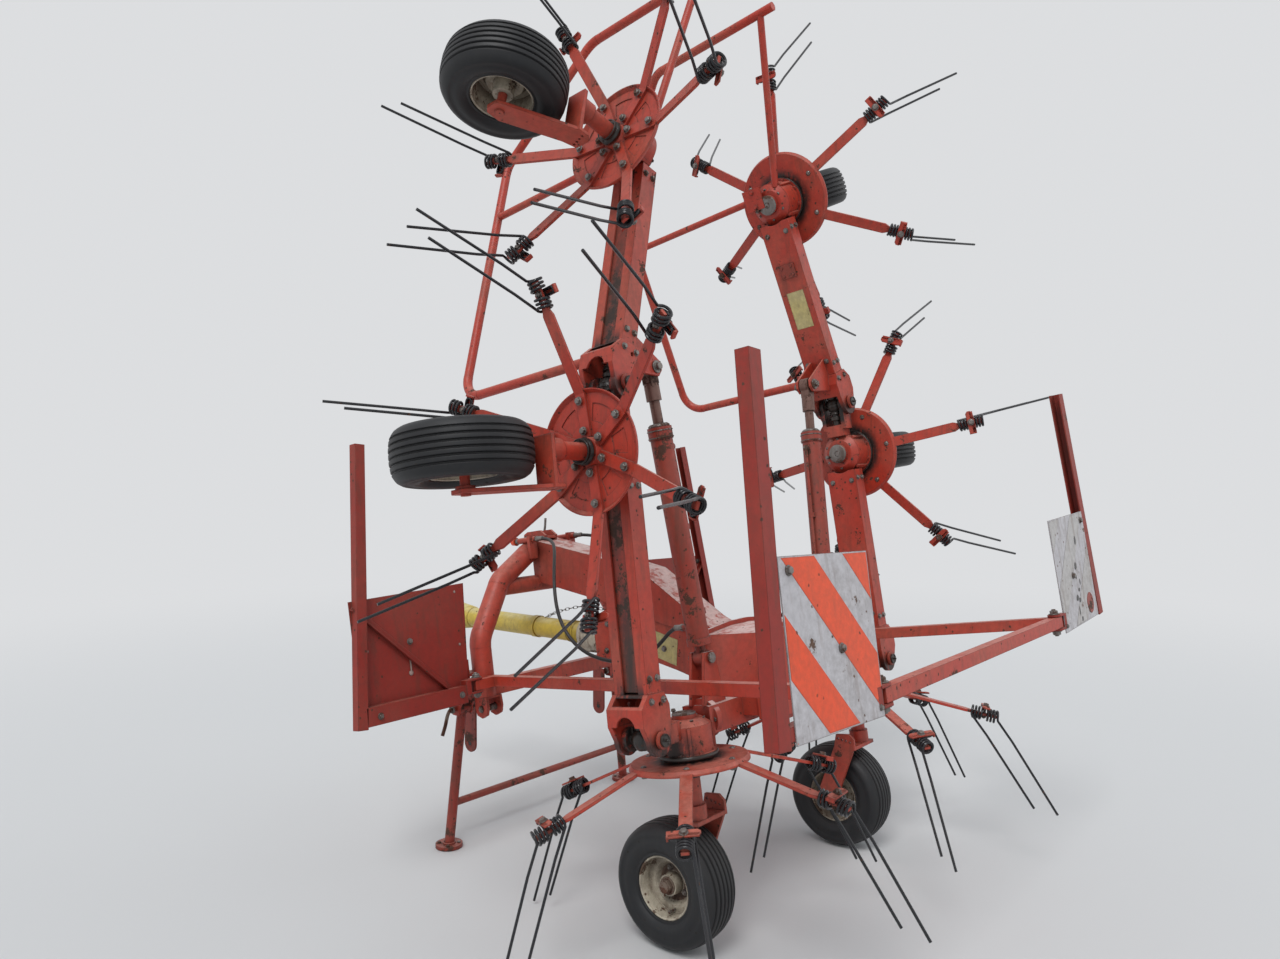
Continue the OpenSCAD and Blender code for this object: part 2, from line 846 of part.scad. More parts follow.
module input_case() {
    color(paint)
        on_frame()
            difference() {
                rotate([90, 0, 90])
                    linear_extrude(150, center = true)
                        polygon(concat([[box_half + seat, 112]],
                            [for (i = [3, 2, 1]) beam_under[i] - [0, 2 * seat]],
                            [[case_front - 120, shaft_foot[2] + 131], [case_front, shaft_foot[2] + 85],
                                [case_front, shaft_foot[2] - 83], [case_front - 240, shaft_foot[2] - 81],
                                [case_front - 420, shaft_foot[2] - 139]]));
                on_shaft()
                    translate([0, 0, -shaft_root])
                        cylinder(d = 120, h = 2 * shaft_root);
            }
}

cross_height = crown_height - 145;
cross_tube = 70;
leg_foot = 168;
arch = [[-hitch_half, leg_foot], [-hitch_half, 400], [-282, crown_height - 115], [-90, crown_height],
    [90, crown_height], [282, crown_height - 115], [hitch_half, 400], [hitch_half, leg_foot]];

module headstock() {
    color(paint)
        on_frame()
            translate([0, headstock_forward, 0]) {
                rotate([90, 0, 0])
                    bent_tube(arch, arch_bend, arch_tube);
                translate([-hitch_half + 20, -30, bar_height - 30])
                    cube([2 * hitch_half - 40, 60, 60]);
                translate([0, 0, cross_height])
                    along(cross_tube, 600);
                hose_clips();
                stand_lugs();
            }
}

// Plates behind the crown that hold the hoses' couplings

module hose_clips() {
    for (s = [-1, 1])
        translate([s * hose_holder[0], 0, crown_height]) {
            translate([-20, hose_holder[1] - 6, -38])
                cube([40, 18, hose_holder[2] + 56]);
            translate([0, hose_holder[1] - 28, hose_holder[2]])
                rotate([-90, 0, 0])
                    cylinder(d = 26, h = 110);
        }
}

// Two plates on the crown with the top link's hole

module top_bracket() {
    pin = [top_link_reach, top_link_rise];
    color(paint)
        on_frame()
            translate([0, headstock_forward, crown_height])
                difference() {
                    union() {
                        for (s = [-1, 1])
                            translate([s * (top_link_gap / 2 + link_plate / 2), 0, 0])
                                rotate([90, 0, 90])
                                    linear_extrude(link_plate, center = true)
                                        polygon([[-40, 20], [-52, 58], [-20, 84], pin + [0, 28],
                                            pin + [22, 18], pin + [27, 0], pin + [20, -20], [52, 0],
                                            [44, -34], [0, 0]]);
                        translate([-top_link_gap / 2 - 1, -50, 44])
                            cube([top_link_gap + 2, 34, 14]);
                    }
                    along(arch_tube + bend_swell + 2 * seat, 400);
                    translate([0, pin[0], pin[1]])
                        along(top_link_hole, 400);
                }
}

// Plates under one leg of the arch, with the lower hitch's hole

module link_clevis() {
    color(paint)
        on_frame()
            translate([link_half, headstock_forward, 0])
                difference() {
                    union() {
                        for (s = [-1, 1])
                            translate([s * (ball_gap + link_plate) / 2, 0, 0])
                                rotate([90, 0, 90])
                                    linear_extrude(link_plate, center = true)
                                        polygon([[-36, leg_foot - seat], [-40, hitch_height + 4],
                                            [-30, hitch_height - 26], [0, hitch_height - 38],
                                            [30, hitch_height - 26], [40, hitch_height + 4],
                                            [36, leg_foot - seat]]);
                        translate([-ball_gap / 2 - link_plate, -36, leg_foot - seat - 8])
                            cube([ball_gap + 2 * link_plate, 72, 8]);
                    }
                    translate([0, 0, hitch_height])
                        along(hitch_hole, 200);
                }
}

// Lugs that carry the stand, in axes that stand upright at the arch's leg

function corner_up() = frame_height - headstock_forward * sin(frame_tilt);
function stand_pivot() = [stand_reach, stand_height - corner_up()];
function up_leg(h) = h * [sin(frame_tilt), cos(frame_tilt)];

module stand_lugs() {
    pin = stand_pivot();
    for (side = [-1, 1])
        on_side(side)
            translate([stand_half, 0, 0])
                rotate([frame_tilt, 0, 0]) {
                    for (s = [-1, 1])
                        translate([s * lug_half, 0, 0])
                            rotate([90, 0, 90])
                                linear_extrude(lug_plate, center = true)
                                    polygon([up_leg(230), up_leg(330), pin + [26, 20], pin + [26, -18],
                                        pin + [16, -27], pin + [-16, -27], pin + [-26, -16], pin + [-26, 6]]);
                    translate([0, pin[0], pin[1]])
                        along(20, 2 * lug_half + lug_plate + 24);
                    translate([-hitch_half / 8, up_leg(262)[0] - 6, up_leg(262)[1]])
                        cube([hitch_half / 8 + lug_half, 50, 12]);
                }
}

module guard_frame() {
    color(paint)
        on_frame() {
            for (s = [-1, 1])
                on_side(s) {
                    difference() {
                        guard_rail([hitch_half, headstock_forward - 20], [rail_half, -rail_rear]);
                        translate([hitch_half, headstock_forward, 0])
                            cylinder(d = arch_tube + 0.6, h = 900);
                    }
                    hinge_bar(hitch_half - 10, front_pivot, front_line);
                    hinge_bar(0, rail_half, -rail_rear);
                }
        }
}

module guard_rail(from, to) {
    v = to - from;
    translate([from[0], from[1], rail_height])
        rotate([0, 0, atan2(v[1], v[0])])
            translate([0, -rail / 2, -rail / 2])
                cube([norm(v), rail, rail]);
}

// Bar across the rail, with the swing arm's pin through its end

module hinge_bar(from, pivot, line) {
    translate([from, line - rail / 2, rail_height - rail / 2])
        cube([pivot + rail / 2 - from, rail, rail]);
    translate([pivot, line, rail_height])
        cylinder(d = clevis_pin, h = rail + 2 * clevis_plate + 20, center = true);
}

// Arm with a fork over the bar's end, out along X from its pin

module swing_arm(length) {
    plate = rail / 2 + fork_gap;
    for (s = [-1, 1])
        translate([0, 0, s * (plate + clevis_plate / 2)])
            difference() {
                union() {
                    cylinder(r = 24, h = clevis_plate, center = true);
                    translate([fork_reach / 2, 0, 0])
                        cube([fork_reach, 48, clevis_plate], center = true);
                }
                cylinder(d = clevis_pin + 2 * running_gap, h = rail, center = true);
            }
    translate([fork_reach - 2, -22, -plate - clevis_plate + 1])
        cube([24, 44, 2 * (plate + clevis_plate - 1)]);
    translate([fork_reach, -18, -rail / 2 + 4])
        cube([length - fork_reach, 36, rail - 8]);
}

module post(place, length) {
    translate([place, 0, -30])
        rotate([0, -post_lean, 0])
            linear_extrude(length)
                difference() {
                    square([50, 40], center = true);
                    translate([-post_wall, 0])
                        square([50, 40 - 2 * post_wall], center = true);
                }
}

module arm_rear(side) {
    reach = post_place - rail_half;
    color(paint)
        on_frame()
            on_side(side)
                translate([rail_half, -rail_rear, rail_height]) {
                    swing_arm(reach);
                    post(reach, post_length);
                }
}

module arm_front(side) {
    reach = front_post_place - front_pivot;
    sheet = [reach - plate_start - 20, 412];
    color(paint)
        on_frame()
            on_side(side)
                translate([front_pivot, front_line, rail_height]) {
                    swing_arm(reach);
                    post(reach, front_post_length);
                    translate([plate_start, 16, -28])
                        cube([sheet[0], board_sheet, sheet[1]]);
                    translate([plate_start + sheet[0] / 2, 13, sheet[1] / 2 - 20])
                        rotate([0, 39, 0])
                            cube([norm(sheet) - 130, 7, 26], center = true);
                }
}

module board(side) {
    color(white)
        on_frame()
            on_side(side)
                translate([board_place, -rail_rear - 18.3 - board_sheet / 2, board_height])
                    rotate([0, -board_lean, 0])
                        cube([board_size, board_sheet, board_size], center = true);
}

module at_stand() {
    translate([0, headstock_forward * cos(frame_tilt) + stand_reach - middle_forward, stand_height])
        children();
}

module stand() {
    length = stand_height / cos(stand_splay);
    spread = 2 * (stand_half + (stand_height - stand_bar_height) * tan(stand_splay));
    color(paint)
        at_stand() {
            for (s = [-1, 1])
                on_side(s)
                    translate([stand_half, 0, 0])
                        stand_leg_piece(length);
            translate([0, 0, stand_bar_height - stand_height])
                along(30, spread);
        }
}

module stand_leg_piece(length) {
    difference() {
        union() {
            along(52, 2 * lug_half - lug_plate - 2);
            rotate([0, 180 - stand_splay, 0])
                cylinder(d = stand_leg, h = length - 8);
            translate([stand_height * tan(stand_splay), 0, -stand_height])
                cylinder(d = stand_foot, h = 14);
        }
        along(20 + 2 * running_gap, 3 * stand_leg);
    }
}

// Drive shaft to the tractor, along Z from the front of its case

module on_shaft() {
    translate(shaft_foot)
        rotate([shaft_rise - 90, 0, 0])
            children();
}

module pto_shaft() {
    color(yellow)
        on_frame()
            on_shaft() {
                translate([0, 0, seat - shaft_root])
                    cylinder(d = 56, h = shaft_root + 150);
                translate([0, 0, 128])
                    cylinder(d1 = 60, d2 = 90, h = 30);
                translate([0, 0, 156])
                    cylinder(d = 90, h = shaft_reach - 156);
            }
}

module pto_bell() {
    color(cream)
        on_frame()
            difference() {
                on_shaft()
                    difference() {
                        union() {
                            translate([0, 0, -20])
                                cylinder(d = 152, h = 24);
                            translate([0, 0, 2])
                                cylinder(d1 = 152, d2 = 158, h = 82);
                            translate([0, 0, 82])
                                cylinder(d1 = 158, d2 = 128, h = 30);
                        }
                        translate([0, 0, -30])
                            cylinder(d = 132, h = 30);
                        translate([0, 0, -8])
                            cylinder(d1 = 144, d2 = 150, h = 90);
                        cylinder(d = 118, h = 150);
                    }
                translate([-100, case_front - 120 + seat, shaft_foot[2] - 100])
                    cube([200, 120, 200]);
            }
}

// Nodes

headstock();
main_beam();
centre_box();
guard_frame();
stand();
pto_shaft();
pto_bell();
input_case();
top_bracket();
mirror([1, 0, 0]) link_clevis();  // link_clevis_left
link_clevis();  // link_clevis_right
at_centre(-1) gearbox_inner();  // gearbox_centre_left
at_centre(1) gearbox_inner();  // gearbox_centre_right
at_inner_rotor(-1) gearbox_inner();  // gearbox_inner_left
at_inner_rotor(1) gearbox_inner();  // gearbox_inner_right
at_outer_rotor(-1) gearbox();  // gearbox_outer_left
at_outer_rotor(1) gearbox();  // gearbox_outer_right
at_inner_hinge(-1) beam_inner();  // beam_inner_left
at_inner_hinge(1) beam_inner();  // beam_inner_right
at_outer_hinge(-1) beam_outer();  // beam_outer_left
at_outer_hinge(1) beam_outer();  // beam_outer_right
at_outer_hinge(-1) hoop();  // hoop_left
at_outer_hinge(1) hoop();  // hoop_right
at_cylinder(-1) cylinder_body();  // cylinder_left
at_cylinder(1) cylinder_body();  // cylinder_right
at_cylinder(-1) cylinder_rod();  // rod_left
at_cylinder(1) cylinder_rod();  // rod_right
mirror([1, 0, 0]) hydraulic_hose();  // hose_left
hydraulic_hose();  // hose_right
at_centre(-1) rotor(180 - rotor_phase);  // rotor_centre_left
at_centre(1) rotor(partner_phase);  // rotor_centre_right
at_inner_rotor(-1) rotor(180 - partner_phase);  // rotor_inner_left
at_inner_rotor(1) rotor(rotor_phase);  // rotor_inner_right
at_outer_rotor(-1) rotor(180 - rotor_phase);  // rotor_outer_left
at_outer_rotor(1) rotor(partner_phase);  // rotor_outer_right
at_centre(-1) tines(180 - rotor_phase, -1);  // tines_centre_left
at_centre(1) tines(partner_phase, -1);  // tines_centre_right
at_inner_rotor(-1) tines(180 - partner_phase, 1);  // tines_inner_left
at_inner_rotor(1) tines(rotor_phase, 1);  // tines_inner_right
at_outer_rotor(-1) tines(180 - rotor_phase, -1);  // tines_outer_left
at_outer_rotor(1) tines(partner_phase, -1);  // tines_outer_right
at_centre(-1) at_wheel() tyre();  // tyre_centre_left
at_centre(1) at_wheel() tyre();  // tyre_centre_right
at_inner_rotor(-1) at_wheel() tyre();  // tyre_inner_left
at_inner_rotor(1) at_wheel() tyre();  // tyre_inner_right
at_outer_rotor(-1) at_wheel() tyre();  // tyre_outer_left
at_outer_rotor(1) at_wheel() tyre();  // tyre_outer_right
at_centre(-1) at_wheel() rim();  // rim_centre_left
at_centre(1) at_wheel() rim();  // rim_centre_right
at_inner_rotor(-1) at_wheel() rim();  // rim_inner_left
at_inner_rotor(1) at_wheel() rim();  // rim_inner_right
at_outer_rotor(-1) at_wheel() rim();  // rim_outer_left
at_outer_rotor(1) at_wheel() rim();  // rim_outer_right
arm_rear(-1);  // arm_rear_left
arm_rear(1);  // arm_rear_right
arm_front(-1);  // arm_front_left
arm_front(1);  // arm_front_right
board(-1);  // board_left
board(1);  // board_right
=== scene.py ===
"""Dresses the hay tedder's frame: finishes, springs, tyres, hoses, boards, camera and studio."""
from __future__ import annotations

import logging
import math
from collections.abc import Iterator
from dataclasses import dataclass
from enum import Enum

import bmesh
import bpy
from mathutils import Matrix, Vector

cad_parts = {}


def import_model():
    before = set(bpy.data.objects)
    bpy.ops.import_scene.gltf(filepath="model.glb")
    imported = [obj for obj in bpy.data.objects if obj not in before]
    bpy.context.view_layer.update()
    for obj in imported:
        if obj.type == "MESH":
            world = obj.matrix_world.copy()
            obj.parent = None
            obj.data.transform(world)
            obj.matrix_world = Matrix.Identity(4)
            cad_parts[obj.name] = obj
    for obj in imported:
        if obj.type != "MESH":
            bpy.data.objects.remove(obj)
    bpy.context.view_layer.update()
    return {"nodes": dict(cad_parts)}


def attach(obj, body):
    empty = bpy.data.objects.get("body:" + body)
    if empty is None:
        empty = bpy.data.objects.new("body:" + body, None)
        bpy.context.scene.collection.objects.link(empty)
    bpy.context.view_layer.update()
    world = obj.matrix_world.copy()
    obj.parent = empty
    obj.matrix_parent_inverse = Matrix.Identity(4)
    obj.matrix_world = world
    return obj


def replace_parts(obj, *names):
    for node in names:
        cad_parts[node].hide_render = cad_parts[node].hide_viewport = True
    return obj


LOG = logging.getLogger("tedder")
Pair = tuple[float, float]
Triple = tuple[float, float, float]
Socket = bpy.types.NodeSocket
# Edges sharper than this many degrees stay hard.
SHARP = 38.0
# A post's pair is its radius and height, and a ring's its radius and wire. Longer sizes are a box's
# lengths or a place, or are unpacked by name where they are used.


def move(x: float = 0.0, y: float = 0.0, z: float = 0.0) -> Matrix:
    """A shift."""
    return Matrix.Translation((x, y, z))


def turn(degrees: float, axis: str) -> Matrix:
    """A turn about one axis."""
    return Matrix.Rotation(math.radians(degrees), 4, axis)


class Side(Enum):
    """The two mirrored halves of the machine."""

    LEFT = -1
    RIGHT = 1

    @property
    def word(self) -> str:
        """The word that node and body names end in."""
        return self.name.lower()


class Place(Enum):
    """The three rotors of one half, from the middle outwards."""

    CENTRE = "centre"
    INNER = "inner"
    OUTER = "outer"


@dataclass(frozen=True)
class Frame:
    """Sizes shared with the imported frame, in metres and degrees."""

    height: float = 0.628
    tilt: float = 9.1
    pitch: float = 1.105
    inner_fold: float = 92.0
    outer_fold: float = 17.5
    hinge_offset: float = 0.213
    hinge_height: float = 0.105
    middle_forward: float = 0.55864
    phase: float = 35.0
    arms: int = 6
    rail_height: float = 0.233
    guard_pivot: Pair = (0.533, 1.056)

    def base(self) -> Matrix:
        """The frame's own axes in the room."""
        return move(0.0, -self.middle_forward, self.height) @ turn(-self.tilt, "X")

    def half(self, side: Side) -> Matrix:
        """The frame's axes, mirrored for the left half."""
        return self.base() @ Matrix.Diagonal((side.value, 1.0, 1.0, 1.0))

    def seat(self, place: Place, side: Side) -> Matrix:
        """Axes at the pin that carries a wing, along the beam inboard of it.

        Args:
            place: The inner or the outer wing.
            side: The half of the machine.

        Returns:
            The matrix, mirrored on the left half.
        """
        if place is Place.INNER:
            return self.half(side) @ move(self.pitch / 2 + self.hinge_offset, 0.0, self.hinge_height)
        return self.wing(Place.INNER, side) @ move(self.pitch)

    def wing(self, place: Place, side: Side) -> Matrix:
        """Axes at the pin that carries a wing, turned with that wing."""
        fold = self.inner_fold if place is Place.INNER else self.outer_fold
        return self.seat(place, side) @ turn(-fold, "Y")

    def rotor(self, place: Place, side: Side) -> Matrix:
        """Axes at the middle of one rotor's disc, mirrored on the left half.

        Args:
            place: Which rotor of the half.
            side: The half of the machine.

        Returns:
            The matrix.
        """
        if place is Place.CENTRE:
            return self.half(side) @ move(self.pitch / 2)
        return self.wing(place, side) @ move(self.pitch - self.hinge_offset, 0.0, -self.hinge_height)

    def spun(self, place: Place, side: Side) -> Matrix:
        """A rotor's axes, turned to its first arm.

        Args:
            place: Which rotor of the half.
            side: The half of the machine.

        Returns:
            The matrix.
        """
        partner = 180.0 / self.arms - self.phase
        own = (partner, self.phase, partner) if side is Side.RIGHT else (
            180.0 - self.phase, 180.0 - partner, 180.0 - self.phase)
        return self.rotor(place, side) @ turn(own[list(Place).index(place)], "Z")


FRAME = Frame()


def rotor_places() -> Iterator[tuple[Place, Side, str]]:
    """Every rotor's place and side, and the end of its pieces' names.

    Yields:
        The three of each rotor, the left half's first.
    """
    for side in Side:
        for place in Place:
            yield place, side, f"{place.value}_{side.word}"


def carrier(place: Place, side: Side) -> str:
    """The body that carries a rotor and its wheel."""
    return "chassis" if place is Place.CENTRE else f"wing_{place.value}_{side.word}"


class Nodes:
    """A short way to lay out one node tree."""

    def __init__(self, tree: bpy.types.NodeTree) -> None:
        """Keeps the tree that the calls add to."""
        self.tree = tree

    def add(self, kind: str, **values: object) -> bpy.types.Node:
        """Adds a node and sets its properties.

        Args:
            kind: The node's type name.
            values: Properties of the node.

        Returns:
            The new node.
        """
        node = self.tree.nodes.new(kind)
        for name, value in values.items():
            setattr(node, name, value)
        return node

    def link(self, out: Socket, into: Socket) -> None:
        """Joins two sockets."""
        self.tree.links.new(out, into)

    def feed(self, socket: Socket, value: object) -> None:
        """Links a socket to a socket, or sets a plain value on it.

        Args:
            socket: The input.
            value: A socket or a plain value.
        """
        if isinstance(value, Socket):
            self.link(value, socket)
        else:
            socket.default_value = value

    def noise(self, where: Socket, scale: float, detail: float, rough: float = 0.6) -> Socket:
        """A noise pattern's factor.

        Args:
            where: The coordinates.
            scale: The pattern's scale.
            detail: Octaves of detail.
            rough: Strength of the finer octaves.

        Returns:
            The factor socket.
        """
        node = self.add("ShaderNodeTexNoise")
        for name, value in (("Vector", where), ("Scale", scale), ("Detail", detail), ("Roughness", rough)):
            self.feed(node.inputs[name], value)
        return node.outputs["Fac"]

    def band(self, value: Socket, low: object, high: object) -> Socket:
        """Stretches a value between two limits to a soft 0 to 1 mask.

        Args:
            value: The value.
            low: Where the mask is 0.
            high: Where it is 1.

        Returns:
            The mask.
        """
        node = self.add("ShaderNodeMapRange", interpolation_type="SMOOTHSTEP")
        for name, number in (("Value", value), ("From Min", low), ("From Max", high)):
            self.feed(node.inputs[name], number)
        return node.outputs["Result"]

    def stretch(self, value: Socket, low: float, high: float) -> Socket:
        """Maps a mask from 0 and 1 to two values.

        Args:
            value: The mask.
            low: What 0 becomes.
            high: What 1 becomes.

        Returns:
            The new value.
        """
        node = self.add("ShaderNodeMapRange")
        for name, number in (("Value", value), ("To Min", low), ("To Max", high)):
            self.feed(node.inputs[name], number)
        return node.outputs["Result"]

    def split(self, value: Socket) -> bpy.types.bpy_prop_collection:
        """A vector's or colour's three parts, by X, Y and Z.

        Args:
            value: The vector or colour.

        Returns:
            The sockets of its parts.
        """
        node = self.add("ShaderNodeSeparateXYZ")
        self.link(value, node.inputs[0])
        return node.outputs

    def scaled(self, value: Socket, factors: Triple) -> Socket:
        """A vector or colour, each part times its own factor.

        Args:
            value: The vector or colour.
            factors: One factor for each part.

        Returns:
            The product.
        """
        node = self.add("ShaderNodeVectorMath", operation="MULTIPLY")
        self.link(value, node.inputs[0])
        node.inputs[1].default_value = factors
        return node.outputs[0]

    def length(self, value: Socket) -> Socket:
        """A vector's length.

        Args:
            value: The vector.

        Returns:
            The length.
        """
        node = self.add("ShaderNodeVectorMath", operation="LENGTH")
        self.link(value, node.inputs[0])
        return node.outputs["Value"]

    def maths(self, operation: str, first: object, second: object = 0.0) -> Socket:
        """One clamped sum, product or other operation.

        Args:
            operation: The operation's name.
            first: A socket or a number.
            second: Another one.

        Returns:
            The result.
        """
        node = self.add("ShaderNodeMath", operation=operation, use_clamp=True)
        self.feed(node.inputs[0], first)
        self.feed(node.inputs[1], second)
        return node.outputs[0]

    def times(self, first: object, *others: object) -> Socket:
        """The clamped product of masks and numbers, taken from the left.

        Args:
            first: A mask.
            others: What it is multiplied by.

        Returns:
            The product.
        """
        for other in others:
            first = self.maths("MULTIPLY", first, other)
        return first

    def most(self, first: object, *others: object) -> Socket:
        """The greatest of some masks.

        Args:
            first: A mask.
            others: The other masks.

        Returns:
            The greatest.
        """
        for other in others:
            first = self.maths("MAXIMUM", first, other)
        return first

    def plus(self, first: object, second: object) -> Socket:
        """The clamped sum of two masks."""
        return self.maths("ADD", first, second)

    def unlike(self, value: Socket) -> Socket:
        """What a mask leaves out: one less the mask."""
        return self.maths("SUBTRACT", 1.0, value)

    def blend(self, first: Socket, share: float, second: Socket, other: float) -> Socket:
        """Two patterns added by their shares."""
        return self.plus(self.times(first, share), self.times(second, other))

    def mix(self, factor: Socket, first: object, second: object) -> Socket:
        """Mixes two colours by a factor.

        Args:
            factor: The second colour's share.
            first: A colour or its socket.
            second: The other colour or its socket.

        Returns:
            The mixed colour.
        """
        node = self.add("ShaderNodeMix", data_type="RGBA")
        self.feed(node.inputs["Factor"], factor)
        for socket, value in ((node.inputs[6], first), (node.inputs[7], second)):
            self.feed(socket, (*value, 1.0) if isinstance(value, tuple) else value)
        return node.outputs[2]


class WearGroup:
    """Node group that fades, bleaches, chips, rusts, streaks and soils a finish by place and slope, and
    paints light and shade: a highlight in the paler tops, shade in crevices, and, through the grease mask,
    shade in beam channels and hinges.
    """

    NAME = "Weathering"
    VALUES = {"Fade": 0.5, "Bleach": 0.0, "Rust": 0.3, "Dirt": 0.3, "Edges": 0.5, "Grease": 0.0}
    COLOURS = {"Base": (0.4, 0.06, 0.03), "Faded": (0.6, 0.2, 0.12), "Bleached": (0.7, 0.5, 0.45),
               "Rusty": (0.12, 0.05, 0.025), "Soil": (0.16, 0.12, 0.09)}
    # Near-black laid by the grease mask: old grease, and painted shade in beam channels, hoods and between
    # hinge ears.
    GREASY = (0.018, 0.013, 0.011)
    DARK_RUST = (0.5, 0.42, 0.4)
    # Darkens the rusty colour where ambient occlusion finds crevices and gaps between parts: painted shade,
    # partly dirt.
    SHADE_AND_DIRT_TINT = (0.42, 0.36, 0.36)
    RUN_STRETCH = (1.0, 1.0, 0.09)
    EDGE_RADIUS = 0.0045
    # How far ambient occlusion looks for the painted crevice shade.
    SHADE_REACH = 0.045
    CHIP_SCALE = 38.0
    BLOTCH = 0.80

    @classmethod
    def get(cls) -> bpy.types.NodeTree:
        """The group, built on its first use."""
        return bpy.data.node_groups.get(cls.NAME) or cls().tree

    def __init__(self) -> None:
        """Builds the group: its sockets, patterns and layers of wear."""
        self.tree = bpy.data.node_groups.new(self.NAME, "ShaderNodeTree")
        self.sockets()
        n = Nodes(self.tree)
        self.n = n
        self.took = n.add("NodeGroupInput").outputs
        place = n.add("ShaderNodeTexCoord").outputs
        self.slope = n.split(place["Normal"])["Z"]
        self.level = n.split(place["Object"])["Z"]
        at = place["Object"]
        self.at = at
        self.broad = n.noise(at, 2.6, 4.0)
        self.patchy = n.noise(at, 11.0, 7.0, 0.68)
        self.fine = n.noise(at, 46.0, 6.0, 0.7)
        self.speck = n.noise(at, 150.0, 3.0)
        self.runs = n.noise(n.scaled(at, self.RUN_STRETCH), 34.0, 5.0, 0.62)
        self.flakes = n.noise(at, 24.0, 8.0, 0.75)
        soft = n.add("ShaderNodeBevel", samples=4)
        soft.inputs["Radius"].default_value = self.EDGE_RADIUS
        colour, bleach = self.paint()
        colour, rust = self.rusted(colour, self.edge(soft.outputs[0]))
        colour, soil, oil_and_shade_mask = self.soiled(colour)
        worn = n.maths("SUBTRACT", n.most(rust, soil), n.times(oil_and_shade_mask, 0.7))
        grain = n.blend(self.speck, 0.35, self.fine, 0.45)
        height = n.maths("SUBTRACT", grain, n.times(n.most(rust, bleach), 0.25))
        gives = n.add("NodeGroupOutput").inputs
        for name, out in (("Color", colour), ("Worn", worn), ("Height", height), ("Normal", soft.outputs[0])):
            n.link(out, gives[name])

    def sockets(self) -> None:
        """Gives the group its named inputs and outputs."""
        face = self.tree.interface
        for name, colour in self.COLOURS.items():
            socket = face.new_socket(name, in_out="INPUT", socket_type="NodeSocketColor")
            socket.default_value = (*colour, 1.0)
        for name, value in self.VALUES.items():
            face.new_socket(name, in_out="INPUT", socket_type="NodeSocketFloat").default_value = value
        for name, kind in (("Color", "Color"), ("Worn", "Float"), ("Height", "Float"), ("Normal", "Vector")):
            face.new_socket(name, in_out="OUTPUT", socket_type=f"NodeSocket{kind}")

    def edge(self, soft: Socket) -> Socket:
        """The mask of the sharp edges.

        Args:
            soft: The rounded normal.

        Returns:
            The mask's socket.
        """
        n = self.n
        facing = n.add("ShaderNodeVectorMath", operation="DOT_PRODUCT")
        n.link(soft, facing.inputs[0])
        n.link(n.add("ShaderNodeNewGeometry").outputs["True Normal"], facing.inputs[1])
        return n.band(n.unlike(facing.outputs["Value"]), 0.015, 0.16)

    def paint(self) -> tuple[Socket, Socket]:
        """The faded, bleached and streaked colour, paler on upward faces partly as a painted highlight, and
        the mask of the bleached places.

        Returns:
            The two sockets.
        """
        n, took = self.n, self.took
        # Upward faces take up to half of the faded colour: partly sun fade, partly a painted highlight on
        # tops.
        up = n.times(n.band(self.slope, -0.2, 1.0), 0.5)
        fade = n.times(n.plus(up, n.band(self.broad, 0.40, 0.70)), took["Fade"])
        colour = n.mix(fade, took["Base"], took["Faded"])
        peeled = n.band(n.blend(self.flakes, 0.6, self.patchy, 0.4), 0.40, 0.53)
        bleach = n.times(n.band(self.slope, 0.45, 0.85), took["Bleach"], peeled)
        colour = n.mix(bleach, colour, took["Bleached"])
        tone = n.add("ShaderNodeHueSaturation")
        tone.inputs["Value"].default_value = self.BLOTCH
        n.link(n.band(self.fine, 0.25, 0.75), tone.inputs["Fac"])
        n.link(colour, tone.inputs["Color"])
        upright = n.unlike(n.band(n.maths("ABSOLUTE", self.slope), 0.4, 0.9))
        streak = n.times(n.band(self.runs, 0.50, 0.68), upright, took["Dirt"], 0.85)
        return n.mix(streak, tone.outputs[0], took["Rusty"]), bleach

    def rusted(self, colour: Socket, edge: Socket) -> tuple[Socket, Socket]:
        """Lays rust spots, chips and bare edges on a colour.

        Args:
            colour: The paint's colour.
            edge: The mask of the sharp edges.

        Returns:
            The new colour and the mask of the rust.
        """
        n, took = self.n, self.took
        limit = n.maths("SUBTRACT", 0.80, n.times(took["Rust"], 0.26))
        rough = n.times(n.plus(self.patchy, n.times(self.speck, 0.22)), 0.9)
        spots = n.band(rough, limit, n.plus(limit, 0.04))
        nick = n.add("ShaderNodeTexVoronoi")
        n.link(self.at, nick.inputs["Vector"])
        nick.inputs["Scale"].default_value = self.CHIP_SCALE
        cell = n.split(nick.outputs["Color"])["X"]
        chosen = n.band(n.plus(cell, n.times(took["Rust"], 0.34)), 0.90, 0.94)
        far = n.band(n.plus(nick.outputs["Distance"], n.times(self.speck, 0.3)), 0.26, 0.36)
        chip = n.times(chosen, n.unlike(far))
        bare = n.times(n.band(n.times(edge, n.plus(self.patchy, 0.42)), 0.50, 0.72), took["Edges"])
        rust = n.most(spots, chip, bare)
        stain = n.mix(n.band(self.fine, 0.35, 0.65), took["Rusty"],
                      n.scaled(took["Rusty"], self.DARK_RUST))
        return n.mix(rust, colour, stain), rust

    def soiled(self, colour: Socket) -> tuple[Socket, Socket, Socket]:
        """Lays soil, painted shade with dirt in crevices, and grease on a colour; in beam channels and hinges
        the grease is also painted shade.

        Args:
            colour: The rusted colour.

        Returns:
            The new colour, and the masks of the soil and of the grease with its painted shade.
        """
        n, took = self.n, self.took
        low = n.unlike(n.band(self.level, 0.10, 0.75))
        dusty = n.plus(took["Dirt"], n.times(low, 0.30, took["Dirt"]))
        soil = n.times(n.band(n.blend(self.fine, 0.4, self.broad, 0.62), 0.42, 0.78), dusty)
        colour = n.mix(soil, colour, took["Soil"])
